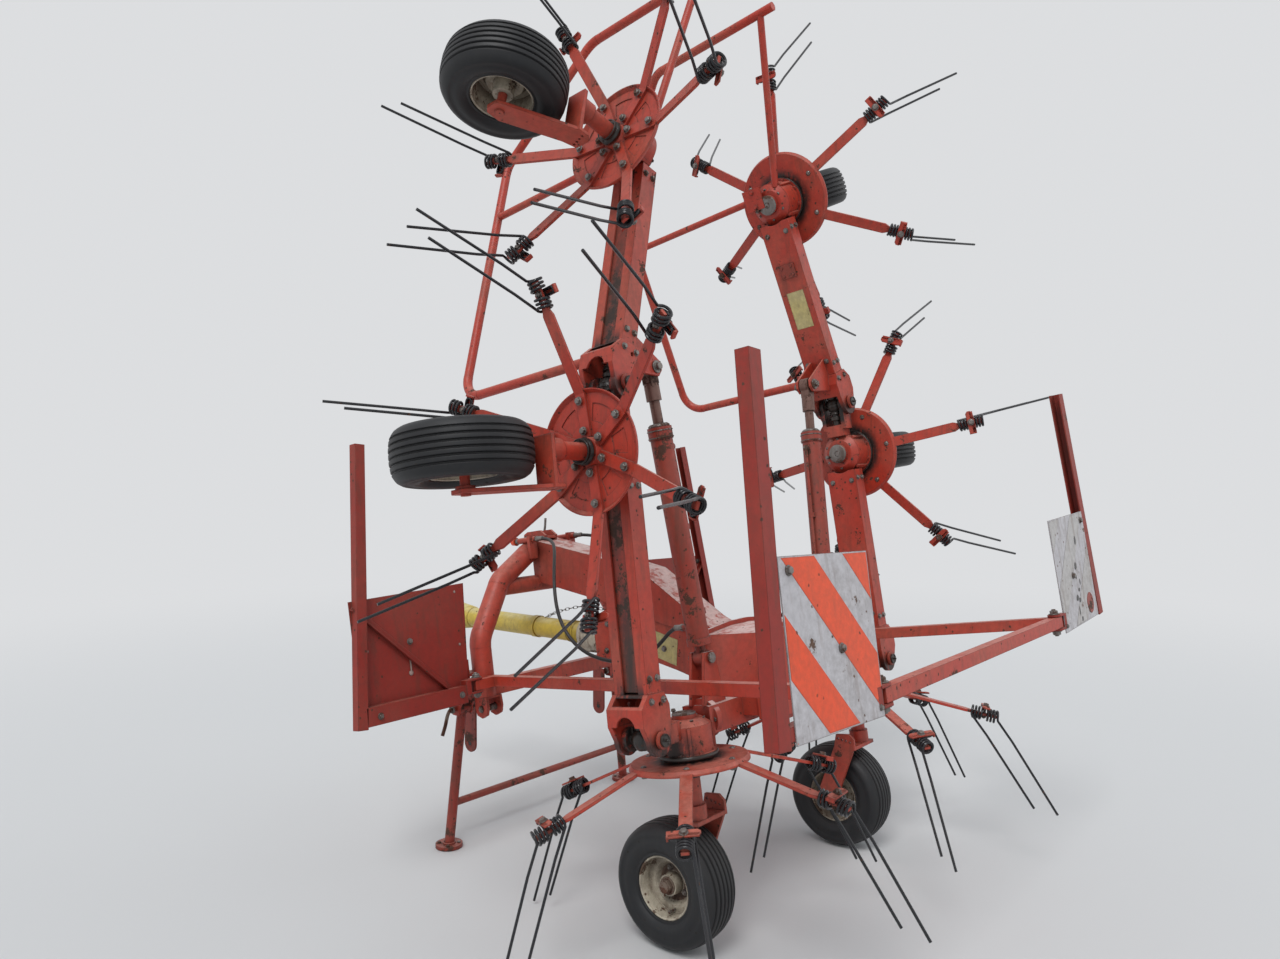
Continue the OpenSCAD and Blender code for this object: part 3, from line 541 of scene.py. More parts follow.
        # Painted shade: ambient occlusion darkens crevices and the gaps between parts towards a darker rust,
        # mottled by noise and scaled by Dirt; partly meant as dirt that gathers there.
        close = n.add("ShaderNodeAmbientOcclusion", samples=3)
        close.inputs["Distance"].default_value = self.SHADE_REACH
        shade_in_gaps = n.band(close.outputs["AO"], 0.86, 0.40)
        shade_and_dirt = n.times(shade_in_gaps, took["Dirt"], n.plus(self.patchy, 0.85))
        colour = n.mix(shade_and_dirt, colour, n.scaled(took["Rusty"], self.SHADE_AND_DIRT_TINT))
        # The grease mask, mottled: old grease on discs and webs, and painted shade with grease in beam
        # channels, hoods and hinges.
        oil_and_shade_mask = n.times(took["Grease"], n.band(n.blend(self.runs, 0.6, self.fine, 0.4), 0.34, 0.50))
        return n.mix(oil_and_shade_mask, colour, self.GREASY), soil, oil_and_shade_mask


class OilAndShadeKind(Enum):
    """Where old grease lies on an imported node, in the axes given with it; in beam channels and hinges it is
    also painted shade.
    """

    # Painted shade with grease: darkens the channel's inside and the hood over the hinge, where shade falls.
    CHANNEL = "inside a beam's channel and hood"
    # Painted shade with grease: darkens between the ears and the gearbox under the hinge.
    HINGE = "between a hinge's ears"
    DISC = "on a rotor's disc round its gearbox"
    WEB = "down the middle of a beam's web"


@dataclass(frozen=True)
class Greased:
    """A place of grease, which in channels and hinges is also painted shade: its kind, its axes, and where
    each edge starts and is full, in metres.
    """

    kind: OilAndShadeKind
    axes: Matrix
    channel_wall: Pair = (0.056, 0.052)
    channel_mouth: Pair = (0.0312, 0.0285)
    channel_floor: Pair = (-0.066, -0.060)
    channel_end: Pair = (0.20, 0.13)
    hood_end: Pair = (0.035, -0.015)
    ear_along: Pair = (0.100, 0.070)
    ear_tall: Pair = (0.075, 0.055)
    ear_inside: Pair = (0.0537, 0.0525)
    under_along: Pair = (-0.210, -0.120)
    under_down: Pair = (0.000, -0.050)
    web_across: Pair = (0.036, 0.004)
    web_along: Pair = (0.62, 0.36)
    disc_round: Pair = (0.142, 0.100)
    disc_top: Pair = (-0.003, -0.0015)

    def mask(self, n: Nodes) -> Socket:
        """The mask of the place of grease, and in channels and hinges of painted shade.

        Args:
            n: The material's nodes.

        Returns:
            The mask's socket.
        """
        axes = self.axes @ Matrix.Diagonal((1, -1, 1, 1)) if self.axes.determinant() < 0 else self.axes
        put = n.add("ShaderNodeMapping", vector_type="TEXTURE")
        put.inputs["Location"].default_value = axes.translation
        put.inputs["Rotation"].default_value = axes.to_euler()
        n.link(n.add("ShaderNodeTexCoord").outputs["Object"], put.inputs["Vector"])
        at = n.split(put.outputs[0])
        across, x, z = n.maths("ABSOLUTE", at["Y"]), at["X"], at["Z"]
        if self.kind is OilAndShadeKind.CHANNEL:
            # Painted shade with grease inside the channel's walls, and all through the hood at the hinge.
            inside = n.times(n.band(across, *self.channel_wall), n.band(z, *self.channel_mouth),
                             n.band(z, *self.channel_floor), n.band(x, *self.channel_end))
            return n.most(inside, n.times(n.band(x, *self.hood_end), 0.9))
        if self.kind is OilAndShadeKind.HINGE:
            # Painted shade with grease between the ears, and on the gearbox's lower side under the hinge.
            near = n.times(n.band(n.maths("ABSOLUTE", x), *self.ear_along),
                           n.band(n.maths("ABSOLUTE", z), *self.ear_tall))
            under = n.times(n.band(x, *self.under_along), n.band(z, *self.under_down))
            return n.most(n.times(n.band(across, *self.ear_inside), near), under)
        if self.kind is OilAndShadeKind.WEB:
            along = n.most(n.times(n.band(x, *self.web_along), 0.78), 0.32)
            return n.times(n.band(across, *self.web_across), along)
        far = n.length(n.scaled(put.outputs[0], (1.0, 1.0, 0.0)))
        return n.times(n.band(far, *self.disc_round), n.band(z, *self.disc_top))


@dataclass(frozen=True)
class Finish:
    """One weathered finish; its colours are linear."""

    name: str
    base: Triple
    faded: Triple
    bleached: Triple = (0.50, 0.24, 0.19)
    rusty: Triple = (0.085, 0.034, 0.019)
    soil: Triple = (0.15, 0.11, 0.085)
    fade: float = 0.5
    bleach: float = 0.0
    rust: float = 0.3
    dirt: float = 0.3
    edges: float = 0.6
    smooth: float = 0.45
    rough: float = 0.8
    metallic: float = 0.0
    bump: float = 0.14
    depth: float = 0.002

    def material(self, greasy: Greased | None = None) -> bpy.types.Material:
        """The finish's material, made on its first use.

        Args:
            greasy: Where old grease lies, with painted shade in beam channels and hinges, if anywhere.

        Returns:
            The material.
        """
        name = self.name if greasy is None else (
            f"{self.name} {greasy.kind.name.lower()} {tuple(round(v, 3) for v in greasy.axes.translation)}")
        made = bpy.data.materials.get(name)
        if made:
            return made
        made = bpy.data.materials.new(name)
        made.use_nodes = True
        n = Nodes(made.node_tree)
        shader = made.node_tree.nodes["Principled BSDF"].inputs
        wear = n.add("ShaderNodeGroup", node_tree=WearGroup.get())
        for socket in WearGroup.COLOURS:
            wear.inputs[socket].default_value = (*getattr(self, socket.lower()), 1.0)
        for socket in ("Fade", "Bleach", "Rust", "Dirt", "Edges"):
            wear.inputs[socket].default_value = getattr(self, socket.lower())
        if greasy is not None:
            n.link(greasy.mask(n), wear.inputs["Grease"])
        n.link(wear.outputs["Color"], shader["Base Color"])
        n.link(n.stretch(wear.outputs["Worn"], self.smooth, self.rough), shader["Roughness"])
        if self.metallic:
            n.link(n.stretch(wear.outputs["Worn"], self.metallic, 0.1), shader["Metallic"])
        bump = n.add("ShaderNodeBump")
        bump.inputs["Strength"].default_value = self.bump
        bump.inputs["Distance"].default_value = self.depth
        n.link(wear.outputs["Height"], bump.inputs["Height"])
        n.link(wear.outputs["Normal"], bump.inputs["Normal"])
        n.link(bump.outputs[0], shader["Normal"])
        return made


RED, PINK = (0.460, 0.0370, 0.0175), (0.540, 0.1150, 0.0700)
RED_SOIL = (0.130, 0.062, 0.042)
PAINT = Finish("Faded red paint", RED, PINK, (0.60, 0.25, 0.19), soil=RED_SOIL, bleach=0.45, rust=0.56,
               dirt=0.42)
BOARD_PAINT = Finish("Dull red paint", (0.285, 0.0180, 0.0095), (0.36, 0.050, 0.031), (0.50, 0.18, 0.13),
                     soil=RED_SOIL, fade=0.40, bleach=0.4, rust=0.36, dirt=0.36, smooth=0.56)
DARK_PAINT = Finish("Old red paint", (0.300, 0.0300, 0.0160), (0.38, 0.075, 0.045), (0.50, 0.22, 0.17),
                    soil=RED_SOIL, bleach=0.3, rust=0.70, dirt=0.50)
WEB = Finish("Rusty web paint", (0.330, 0.0330, 0.0170), (0.36, 0.075, 0.045), rusty=(0.085, 0.036, 0.020),
             soil=(0.085, 0.045, 0.030), fade=0.4, rust=0.9, dirt=0.85)
ROD = Finish("Grimy rod", (0.190, 0.105, 0.085), (0.25, 0.15, 0.12), rusty=(0.090, 0.040, 0.025),
             soil=(0.10, 0.05, 0.035), fade=0.4, rust=0.85, dirt=0.6, smooth=0.4, metallic=0.5)
BEAM_TOP = Finish("Sun-bleached paint", (0.420, 0.0380, 0.0190), (0.46, 0.105, 0.068), (0.72, 0.52, 0.48),
                  soil=RED_SOIL, fade=0.55, bleach=0.96, rust=0.38, smooth=0.5)
CREAM = Finish("Cream rim paint", (0.56, 0.50, 0.39), (0.62, 0.57, 0.46), rusty=(0.11, 0.055, 0.032),
               soil=(0.13, 0.095, 0.065), rust=0.78, dirt=0.75, edges=0.8)
RIM_CORE = Finish("Rusty hub", (0.120, 0.065, 0.042), (0.19, 0.12, 0.085), rusty=(0.060, 0.028, 0.017),
                  rust=0.8, dirt=0.6, smooth=0.6)
RUBBER = Finish("Tyre rubber", (0.0060, 0.0068, 0.0090), (0.012, 0.0132, 0.0160), (0.020, 0.021, 0.024),
                rusty=(0.028, 0.026, 0.024), soil=(0.046, 0.039, 0.032), fade=0.6, bleach=0.4, rust=0.10,
                dirt=0.20, edges=0.25, smooth=0.52, rough=0.85, bump=0.2)
SPRING = Finish("Spring wire paint", (0.0085, 0.0095, 0.0130), (0.020, 0.022, 0.027), (0.09, 0.09, 0.095),
                rusty=(0.070, 0.034, 0.021), fade=0.4, bleach=0.2, rust=0.12, dirt=0.06, edges=0.0,
                smooth=0.24, bump=0.04)
STEEL = Finish("Bare steel", (0.25, 0.235, 0.22), (0.33, 0.315, 0.30), rusty=(0.10, 0.048, 0.028), fade=0.4,
               rust=0.85, dirt=0.5, edges=0.2, smooth=0.38, metallic=0.75)
PLASTIC = Finish("Yellow guard plastic", (0.60, 0.42, 0.035), (0.68, 0.57, 0.16), (0.72, 0.66, 0.36),
                 rusty=(0.26, 0.17, 0.05), bleach=0.5, rust=0.18, dirt=0.4, edges=0.3, smooth=0.42)
WHITE = Finish("White board paint", (0.52, 0.50, 0.52), (0.60, 0.58, 0.60), rusty=(0.15, 0.085, 0.055),
               rust=0.46, dirt=0.42, edges=0.8, smooth=0.4)
GREASE = Finish("Greasy black", (0.012, 0.011, 0.010), (0.035, 0.031, 0.028), rusty=(0.060, 0.027, 0.016),
                rust=0.25, dirt=0.25, edges=0.2, smooth=0.30, rough=0.6)
RUSTY = Finish("Rusty steel", (0.20, 0.145, 0.11), (0.26, 0.20, 0.16), rusty=(0.11, 0.043, 0.023), fade=0.4,
               rust=0.95, dirt=0.4, smooth=0.5, metallic=0.4)
STRIPE = Finish("Orange-red film", (0.84, 0.072, 0.007), (0.84, 0.095, 0.016), (0.80, 0.18, 0.08),
                rusty=(0.28, 0.060, 0.030), soil=(0.30, 0.10, 0.06), fade=0.25, bleach=0.2, dirt=0.20,
                smooth=0.33)
STRIPE_PALE = Finish("Bleached film", (0.50, 0.48, 0.47), (0.57, 0.54, 0.52), rusty=(0.20, 0.13, 0.10),
                     fade=0.6, rust=0.5, dirt=0.5, smooth=0.5)
STICKER = Finish("Blank yellow film", (0.60, 0.50, 0.17), (0.64, 0.58, 0.32), rusty=(0.24, 0.17, 0.09),
                 fade=0.6, rust=0.4, dirt=0.45, smooth=0.4)
PALE_DOT = Finish("Pale rivet", (0.42, 0.30, 0.26), (0.50, 0.40, 0.35), fade=0.4, rust=0.6, smooth=0.5)
HOSE = Finish("Hose rubber", (0.010, 0.010, 0.011), (0.022, 0.022, 0.022), rusty=(0.045, 0.038, 0.03),
              fade=0.4, rust=0.1, dirt=0.25, edges=0.0, smooth=0.42)


def finished(name: str, mesh: bmesh.types.BMesh, finish: Finish, body: str,
             smooth: bool = True, greasy: Greased | None = None) -> bpy.types.Object:
    """Turns a bmesh into a piece that rides on a body.

    Args:
        name: The piece's name.
        mesh: The shape, freed here.
        finish: Its finish.
        body: The body that it rides on.
        smooth: Whether curved faces are shaded smooth.
        greasy: Where old grease lies, with painted shade in beam channels and hinges, if anywhere.

    Returns:
        The new object.
    """
    bmesh.ops.recalc_face_normals(mesh, faces=mesh.faces)
    for face in mesh.faces:
        face.smooth = smooth
    data = bpy.data.meshes.new(name)
    mesh.to_mesh(data)
    mesh.free()
    if smooth:
        data.set_sharp_from_angle(angle=math.radians(SHARP))
    data.materials.append(finish.material(greasy))
    item = bpy.data.objects.new(name, data)
    bpy.context.scene.collection.objects.link(item)
    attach(item, body)
    LOG.info("%s: %d faces on %s", name, len(data.polygons), body)
    return item


class Shape:
    """Collects solids made with bmesh operators in one mesh.

    The sizes of a bolt's parts are shares of its width over the corners.
    """

    WASHER = (0.66, 0.12)
    HEAD = 0.38
    HEAD_SOFT = 0.06
    STUD = (0.25, 0.66)

    def __init__(self) -> None:
        """Starts an empty mesh."""
        self.mesh = bmesh.new()

    def add(self, part: bmesh.types.BMesh, at: Matrix) -> None:
        """Puts a part into the mesh and frees it.

        Args:
            part: The part, in its own axes.
            at: Where it goes.
        """
        bmesh.ops.transform(part, matrix=at, verts=part.verts)
        store = bpy.data.meshes.new("store")
        part.to_mesh(store)
        part.free()
        self.mesh.from_mesh(store)
        bpy.data.meshes.remove(store)

    @staticmethod
    def soften(part: bmesh.types.BMesh, width: float, above: float = 60.0, top_only: bool = False) -> None:
        """Bevels a part's sharp edges.

        Args:
            part: The part.
            width: The bevel's width.
            above: The least angle between two faces, in degrees, that is bevelled.
            top_only: Whether only edges at the part's top are.
        """
        top = max(v.co.z for v in part.verts) - 1e-6
        edges = [e for e in part.edges if len(e.link_faces) == 2 and e.calc_face_angle() > math.radians(above)
                 and not (top_only and min(v.co.z for v in e.verts) < top)]
        bmesh.ops.bevel(part, geom=edges, offset=width, segments=1, profile=0.5, affect="EDGES", material=-1,
                        clamp_overlap=True)

    def box(self, size: Triple, at: Matrix) -> None:
        """Adds a box with broken edges around its middle.

        Args:
            size: Its three lengths.
            at: Its axes.
        """
        part = bmesh.new()
        bmesh.ops.create_cube(part, size=1.0, matrix=Matrix.Diagonal((*size, 1.0)))
        self.soften(part, min(0.0012, min(size) * 0.15))
        self.add(part, at)

    def post(self, radius: float, height: float, at: Matrix, sides: int = 24,
             top: float | None = None) -> None:
        """Adds a cylinder or cone with broken rims that stands on its foot along Z.

        Args:
            radius: The foot's radius.
            height: How tall it is.
            at: Axes at the foot.
            sides: Facets around it.
            top: The top's radius, the foot's where left out.
        """
        part = bmesh.new()
        bmesh.ops.create_cone(part, cap_ends=True, cap_tris=False, segments=sides, radius1=radius,
                              radius2=radius if top is None else top, depth=height,
                              matrix=move(0, 0, height / 2))
        if top is None and radius > 0.006:
            self.soften(part, min(0.0012, radius * 0.1, height * 0.25), 75.0)
        self.add(part, at)

    def ball(self, radius: float, at: Matrix, sides: int = 24) -> None:
        """Adds a ball round its middle.

        Args:
            radius: Its radius.
            at: Its middle's axes.
            sides: Facets round it.
        """
        part = bmesh.new()
        bmesh.ops.create_uvsphere(part, u_segments=sides, v_segments=sides // 2, radius=radius)
        self.add(part, at)

    def bolt(self, across: float, at: Matrix, washer: bool = True) -> None:
        """Adds a chamfered hex head on a washer, standing along Z on its seat.

        Args:
            across: The head's width over its corners.
            at: Axes on the seat.
            washer: Whether a washer lies under it.
        """
        radius, thick = (across * share for share in self.WASHER)
        tall = across * self.HEAD
        rise = 0.0
        if washer:
            self.post(radius, thick, at, 20)
            rise = thick
        part = bmesh.new()
        bmesh.ops.create_cone(part, cap_ends=True, segments=6, radius1=across / 2, radius2=across / 2,
                              depth=tall, matrix=move(0, 0, rise + tall / 2))
        self.soften(part, across * self.HEAD_SOFT, 75.0, top_only=True)
        self.add(part, at)

    def nut(self, across: float, at: Matrix) -> None:
        """Adds a nut with its thread's end standing out."""
        self.bolt(across, at)
        self.post(across * self.STUD[0], across * self.STUD[1], at, 12)

    def lathe(self, profile: list[Pair], at: Matrix, sides: int = 48) -> None:
        """Spins a closed profile of radius and height round Z.

        Args:
            profile: Corners of the section.
            at: The axes.
            sides: Steps round the turn.
        """
        part = bmesh.new()
        ring = [part.verts.new((r, 0.0, z)) for r, z in profile]
        edges = [part.edges.new(pair) for pair in zip(ring, ring[1:] + ring[:1])]
        bmesh.ops.spin(part, geom=ring + edges, cent=(0, 0, 0), axis=(0, 0, 1), dvec=(0, 0, 0),
                       angle=2 * math.pi, steps=sides, use_merge=True, use_duplicate=False)
        self.add(part, at)

    def tube(self, path: list[Vector], radius: float, sides: int) -> None:
        """Sweeps a round wire or hose along a path by extruding a circle.

        Args:
            path: Points of its middle line.
            radius: Its radius.
            sides: Facets around it.
        """
        self.add(self.swept(path, radius, sides), Matrix.Identity(4))

    @staticmethod
    def swept(path: list[Vector], radius: float, sides: int) -> bmesh.types.BMesh:
        """The sweep of a circle along a path, with capped ends.

        Args:
            path: Points of its middle line.
            radius: The circle's radius.
            sides: Its corners.

        Returns:
            The swept mesh.
        """
        part = bmesh.new()
        across = (path[1] - path[0]).orthogonal().normalized()
        placed = []
        for i, point in enumerate(path):
            along = (path[min(i + 1, len(path) - 1)] - path[max(i - 1, 0)]).normalized()
            across = (across - along * across.dot(along)).normalized()
            turned = Matrix((across, along.cross(across), along)).transposed().to_4x4()
            placed.append(Matrix.Translation(point) @ turned)
        first = bmesh.ops.create_circle(part, segments=sides, radius=radius, matrix=placed[0])["verts"]
        loop = list({e for v in first for e in v.link_edges})
        rims = [loop]
        for before, after in zip(placed, placed[1:]):
            made = bmesh.ops.extrude_edge_only(part, edges=loop)["geom"]
            verts = [g for g in made if isinstance(g, bmesh.types.BMVert)]
            loop = [g for g in made if isinstance(g, bmesh.types.BMEdge)]
            bmesh.ops.transform(part, matrix=after @ before.inverted(), verts=verts)
        rims.append(loop)
        for rim in rims:
            bmesh.ops.edgeloop_fill(part, edges=rim)
        return part

    def ring(self, radius: float, wire: float, at: Matrix, sides: int = 32, facets: int = 8) -> None:
        """Spins a small circle round Z to a torus.

        Args:
            radius: From the middle to the wire's.
            wire: The wire's radius.
            at: The axes.
            sides: Steps round the turn.
            facets: Corners of the wire.
        """
        part = bmesh.new()
        place = move(radius) @ turn(90, "X")
        made = bmesh.ops.create_circle(part, segments=facets, radius=wire, matrix=place)["verts"]
        bmesh.ops.spin(part, geom=made + part.edges[:], cent=(0, 0, 0), axis=(0, 0, 1), dvec=(0, 0, 0),
                       angle=2 * math.pi, steps=sides, use_merge=True, use_duplicate=False)
        self.add(part, at)

    @staticmethod
    def thicken(part: bmesh.types.BMesh, thick: float) -> None:
        """Extrudes a flat part along Z.

        Args:
            part: The part.
            thick: How far.
        """
        raised = bmesh.ops.extrude_face_region(part, geom=part.faces[:], use_keep_orig=True)["geom"]
        bmesh.ops.translate(part, vec=(0, 0, thick),
                            verts=[g for g in raised if isinstance(g, bmesh.types.BMVert)])

    def slab(self, outline: list[Pair], thick: float, at: Matrix, soft: float = 0.0) -> None:
        """Extrudes an outline of X and Y along Z.

        Args:
            outline: Its corners in turn.
            thick: Its height.
            at: Axes on its foot.
            soft: The bevel on its edges.
        """
        part = bmesh.new()
        part.faces.new([part.verts.new((x, y, 0.0)) for x, y in outline])
        self.thicken(part, thick)
        if soft:
            self.soften(part, soft)
        self.add(part, at)

    def done(self, name: str, finish: Finish, body: str, slot: str, smooth: bool = True,
             greasy: Greased | None = None) -> bpy.types.Object:
        """Turns the shape into a finished piece."""
        return finished(name, self.mesh, finish, body, smooth, greasy)


def curve(points: list[Vector], steps: int) -> list[Vector]:
    """Smooth path through points, for hoses, handles and the chain.

    Args:
        points: Where it passes.
        steps: Pieces between two points.

    Returns:
        The points of the path.
    """
    ends = [points[0] * 2 - points[1], *points, points[-1] * 2 - points[-2]]
    path = []
    for a, b, c, d in zip(ends, ends[1:], ends[2:], ends[3:]):
        for k in range(steps):
            t = k / steps
            path.append(0.5 * (2 * b + (c - a) * t + (2 * a - 5 * b + 4 * c - d) * t * t
                               + (3 * b - a - 3 * c + d) * t ** 3))
    return [*path, points[-1]]


def half_round(radius: float, start: float) -> list[Pair]:
    """Half a circle's points, 15 degrees apart, from a start angle in degrees.

    Args:
        radius: The circle's radius.
        start: The first point's angle.

    Returns:
        The points.
    """
    angles = [math.radians(start + 15 * k) for k in range(13)]
    return [(radius * math.cos(a), radius * math.sin(a)) for a in angles]


class PaintWork:
    """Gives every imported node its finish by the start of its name."""

    KINDS = {"tyre": RUBBER, "rim": CREAM, "tines": SPRING, "rod_": ROD, "cylinder": DARK_PAINT,
             "pto_shaft": PLASTIC, "pto_bell": CREAM, "board": WHITE, "stand": DARK_PAINT,
             "main_beam": BEAM_TOP, "centre_box": BEAM_TOP, "hose": HOSE, "arm_": BOARD_PAINT}

    def greased(self) -> dict[str, Greased]:
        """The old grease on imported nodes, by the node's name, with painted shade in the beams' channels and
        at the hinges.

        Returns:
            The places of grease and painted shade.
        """
        found = {}
        for place, side, name in rotor_places():
            found[f"rotor_{name}"] = Greased(OilAndShadeKind.DISC, FRAME.rotor(place, side))
            if place is not Place.CENTRE:
                # Beams get painted shade with grease in their channels and hoods.
                found[f"beam_{name}"] = Greased(OilAndShadeKind.CHANNEL, FRAME.wing(place, side))
        for side in Side:
            # The hinges' gearboxes get painted shade with grease between the ears and under them.
            found[f"gearbox_centre_{side.word}"] = Greased(OilAndShadeKind.HINGE, FRAME.seat(Place.INNER, side))
            found[f"gearbox_inner_{side.word}"] = Greased(OilAndShadeKind.HINGE, FRAME.seat(Place.OUTER, side))
        return found

    def apply(self, nodes: dict) -> None:
        """Dresses the nodes.

        Args:
            nodes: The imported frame's nodes by name.
        """
        greased = self.greased()
        for name in nodes:
            found = next((f for start, f in self.KINDS.items() if name.startswith(start)), PAINT)
            materials = bpy.data.objects[name].data.materials
            materials.clear()
            materials.append(found.material(greased.get(name)))


@dataclass(frozen=True)
class Tines:
    """Coiled double springs, their clamps and bolts, on every rotor arm."""

    arm_bend: float = 0.186
    arm_droop: float = 19.5
    arm_bar: float = 0.010
    disc_sheet: float = 0.006
    coil_place: float = 0.498
    coil_mean: float = 0.02225
    coil_step: float = 0.0124
    coil_turns: float = 3.25
    coil_start: float = 0.0093
    coil_facets: int = 20
    hairpin: Pair = (-0.030, -0.015)
    leave_drop: float = 0.012
    leave_share: float = 0.6
    leave_run: float = 0.004
    wire: float = 0.0095
    wire_sides: int = 7
    tip: Triple = (0.700, 0.05225, -0.508)
    reach: float = 0.03625
    spread: float = 0.0430
    plate: Triple = (0.014, -0.049, 0.047)
    plate_nose: Pair = (0.006, 0.038)
    plate_thick: float = 0.006
    plate_lip: Triple = (-0.043, 0.010, -0.009)
    rib: Triple = (0.014, 0.088, 0.006)
    rib_aside: float = 0.008
    bolt: float = 0.021
    nut: float = 0.019
    stud: float = 0.0045

    def path(self, away: Matrix) -> list[Vector]:
        """One double tine's line: a leg, a coil, the hairpin under the clamp, and their mirror.

        Args:
            away: The arm's axes in the coils' own.

        Returns:
            The line's points in the coils' axes.
        """
        droop = math.radians(self.arm_droop)
        slope = Vector((math.cos(droop), 0.0, -math.sin(droop)))
        mean, start, facets = self.coil_mean, self.coil_start, self.coil_facets
        halves = []
        for side in (1, -1):
            foot = away @ (Vector(self.tip) - self.reach * slope + side * self.spread * slope)
            line = [Vector((side * start, y, mean)) for y in self.hairpin]
            for k in range(int(facets * self.coil_turns) + 1):
                angle = math.pi / 2 - 2 * math.pi * k / facets
                shift = start + self.coil_step * k / facets
                line.append(Vector((side * shift, mean * math.cos(angle), mean * math.sin(angle))))
            last = line[-1]
            aim = (foot - last).normalized()
            bend = last + Vector((0, 0, -self.leave_drop)) * self.leave_share + aim * self.leave_run
            line += [bend, last.lerp(foot, 0.25), last.lerp(foot, 0.6), foot]
            halves.append(line)
        bow = [Vector((start * math.cos(a), self.hairpin[0] - start * math.sin(a), mean))
               for a in (math.radians(t) for t in range(30, 180, 30))]
        return halves[0][::-1] + bow + halves[1]

    def build(self) -> None:
        """Builds the springs and clamps of all six rotors."""
        run = (self.coil_place - self.arm_bend) / math.cos(math.radians(self.arm_droop))
        end = (move(self.arm_bend, 0, -self.disc_sheet) @ turn(self.arm_droop, "Y")
               @ move(run, 0, -self.arm_bar / 2))
        store = bpy.data.meshes.new("spring")
        spring = Shape.swept(self.path(end.inverted()), self.wire / 2, self.wire_sides)
        spring.to_mesh(store)
        spring.free()
        for place, side, name in rotor_places():
            way = 1 if place is Place.INNER else -1
            wires, plates, nuts = Shape(), Shape(), Shape()
            for i in range(FRAME.arms):
                arm = (FRAME.spun(place, side) @ turn(i * 360 / FRAME.arms, "Z")
                       @ Matrix.Diagonal((1, way, 1, 1)))
                part = bmesh.new()
                part.from_mesh(store)
                wires.add(part, arm @ end)
                self.clamp(plates, nuts, arm @ end)
            body = f"rotor_{name}"
            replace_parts(wires.done(f"springs_{name}", SPRING, body, "spring_black"), f"tines_{name}")
            plates.done(f"tine_plates_{name}", PAINT, body, "paint")
            nuts.done(f"tine_nuts_{name}", STEEL, body, "bare_steel")

    def clamp(self, plates: Shape, nuts: Shape, at: Matrix) -> None:
        """Adds the plate over a spring's hairpin with its bolt.

        Args:
            plates: Where the plate goes.
            nuts: Where the bolt goes.
            at: The coils' axes.
        """
        top = self.coil_mean + self.wire / 2
        half, back, front = self.plate
        nose, shoulder = self.plate_nose
        edge, tall, sunk = self.plate_lip
        plates.slab([(-half, back), (half, back), (half, shoulder), (nose, front), (-nose, front),
                     (-half, shoulder)], self.plate_thick, at @ move(0, 0, top), 0.0008)
        plates.slab([(-half, back), (half, back), (half, edge), (-half, edge)], tall,
                    at @ move(0, 0, top + sunk))
        plates.box(self.rib, at @ move(self.rib_aside, 0, top + self.plate_thick / 2))
        nuts.bolt(self.bolt, at @ move(0, 0, top + self.plate_thick))
        nuts.post(self.stud, top, at, 10)
        nuts.nut(self.nut, at @ move(0, 0, -self.arm_bar / 2) @ turn(180, "X"))


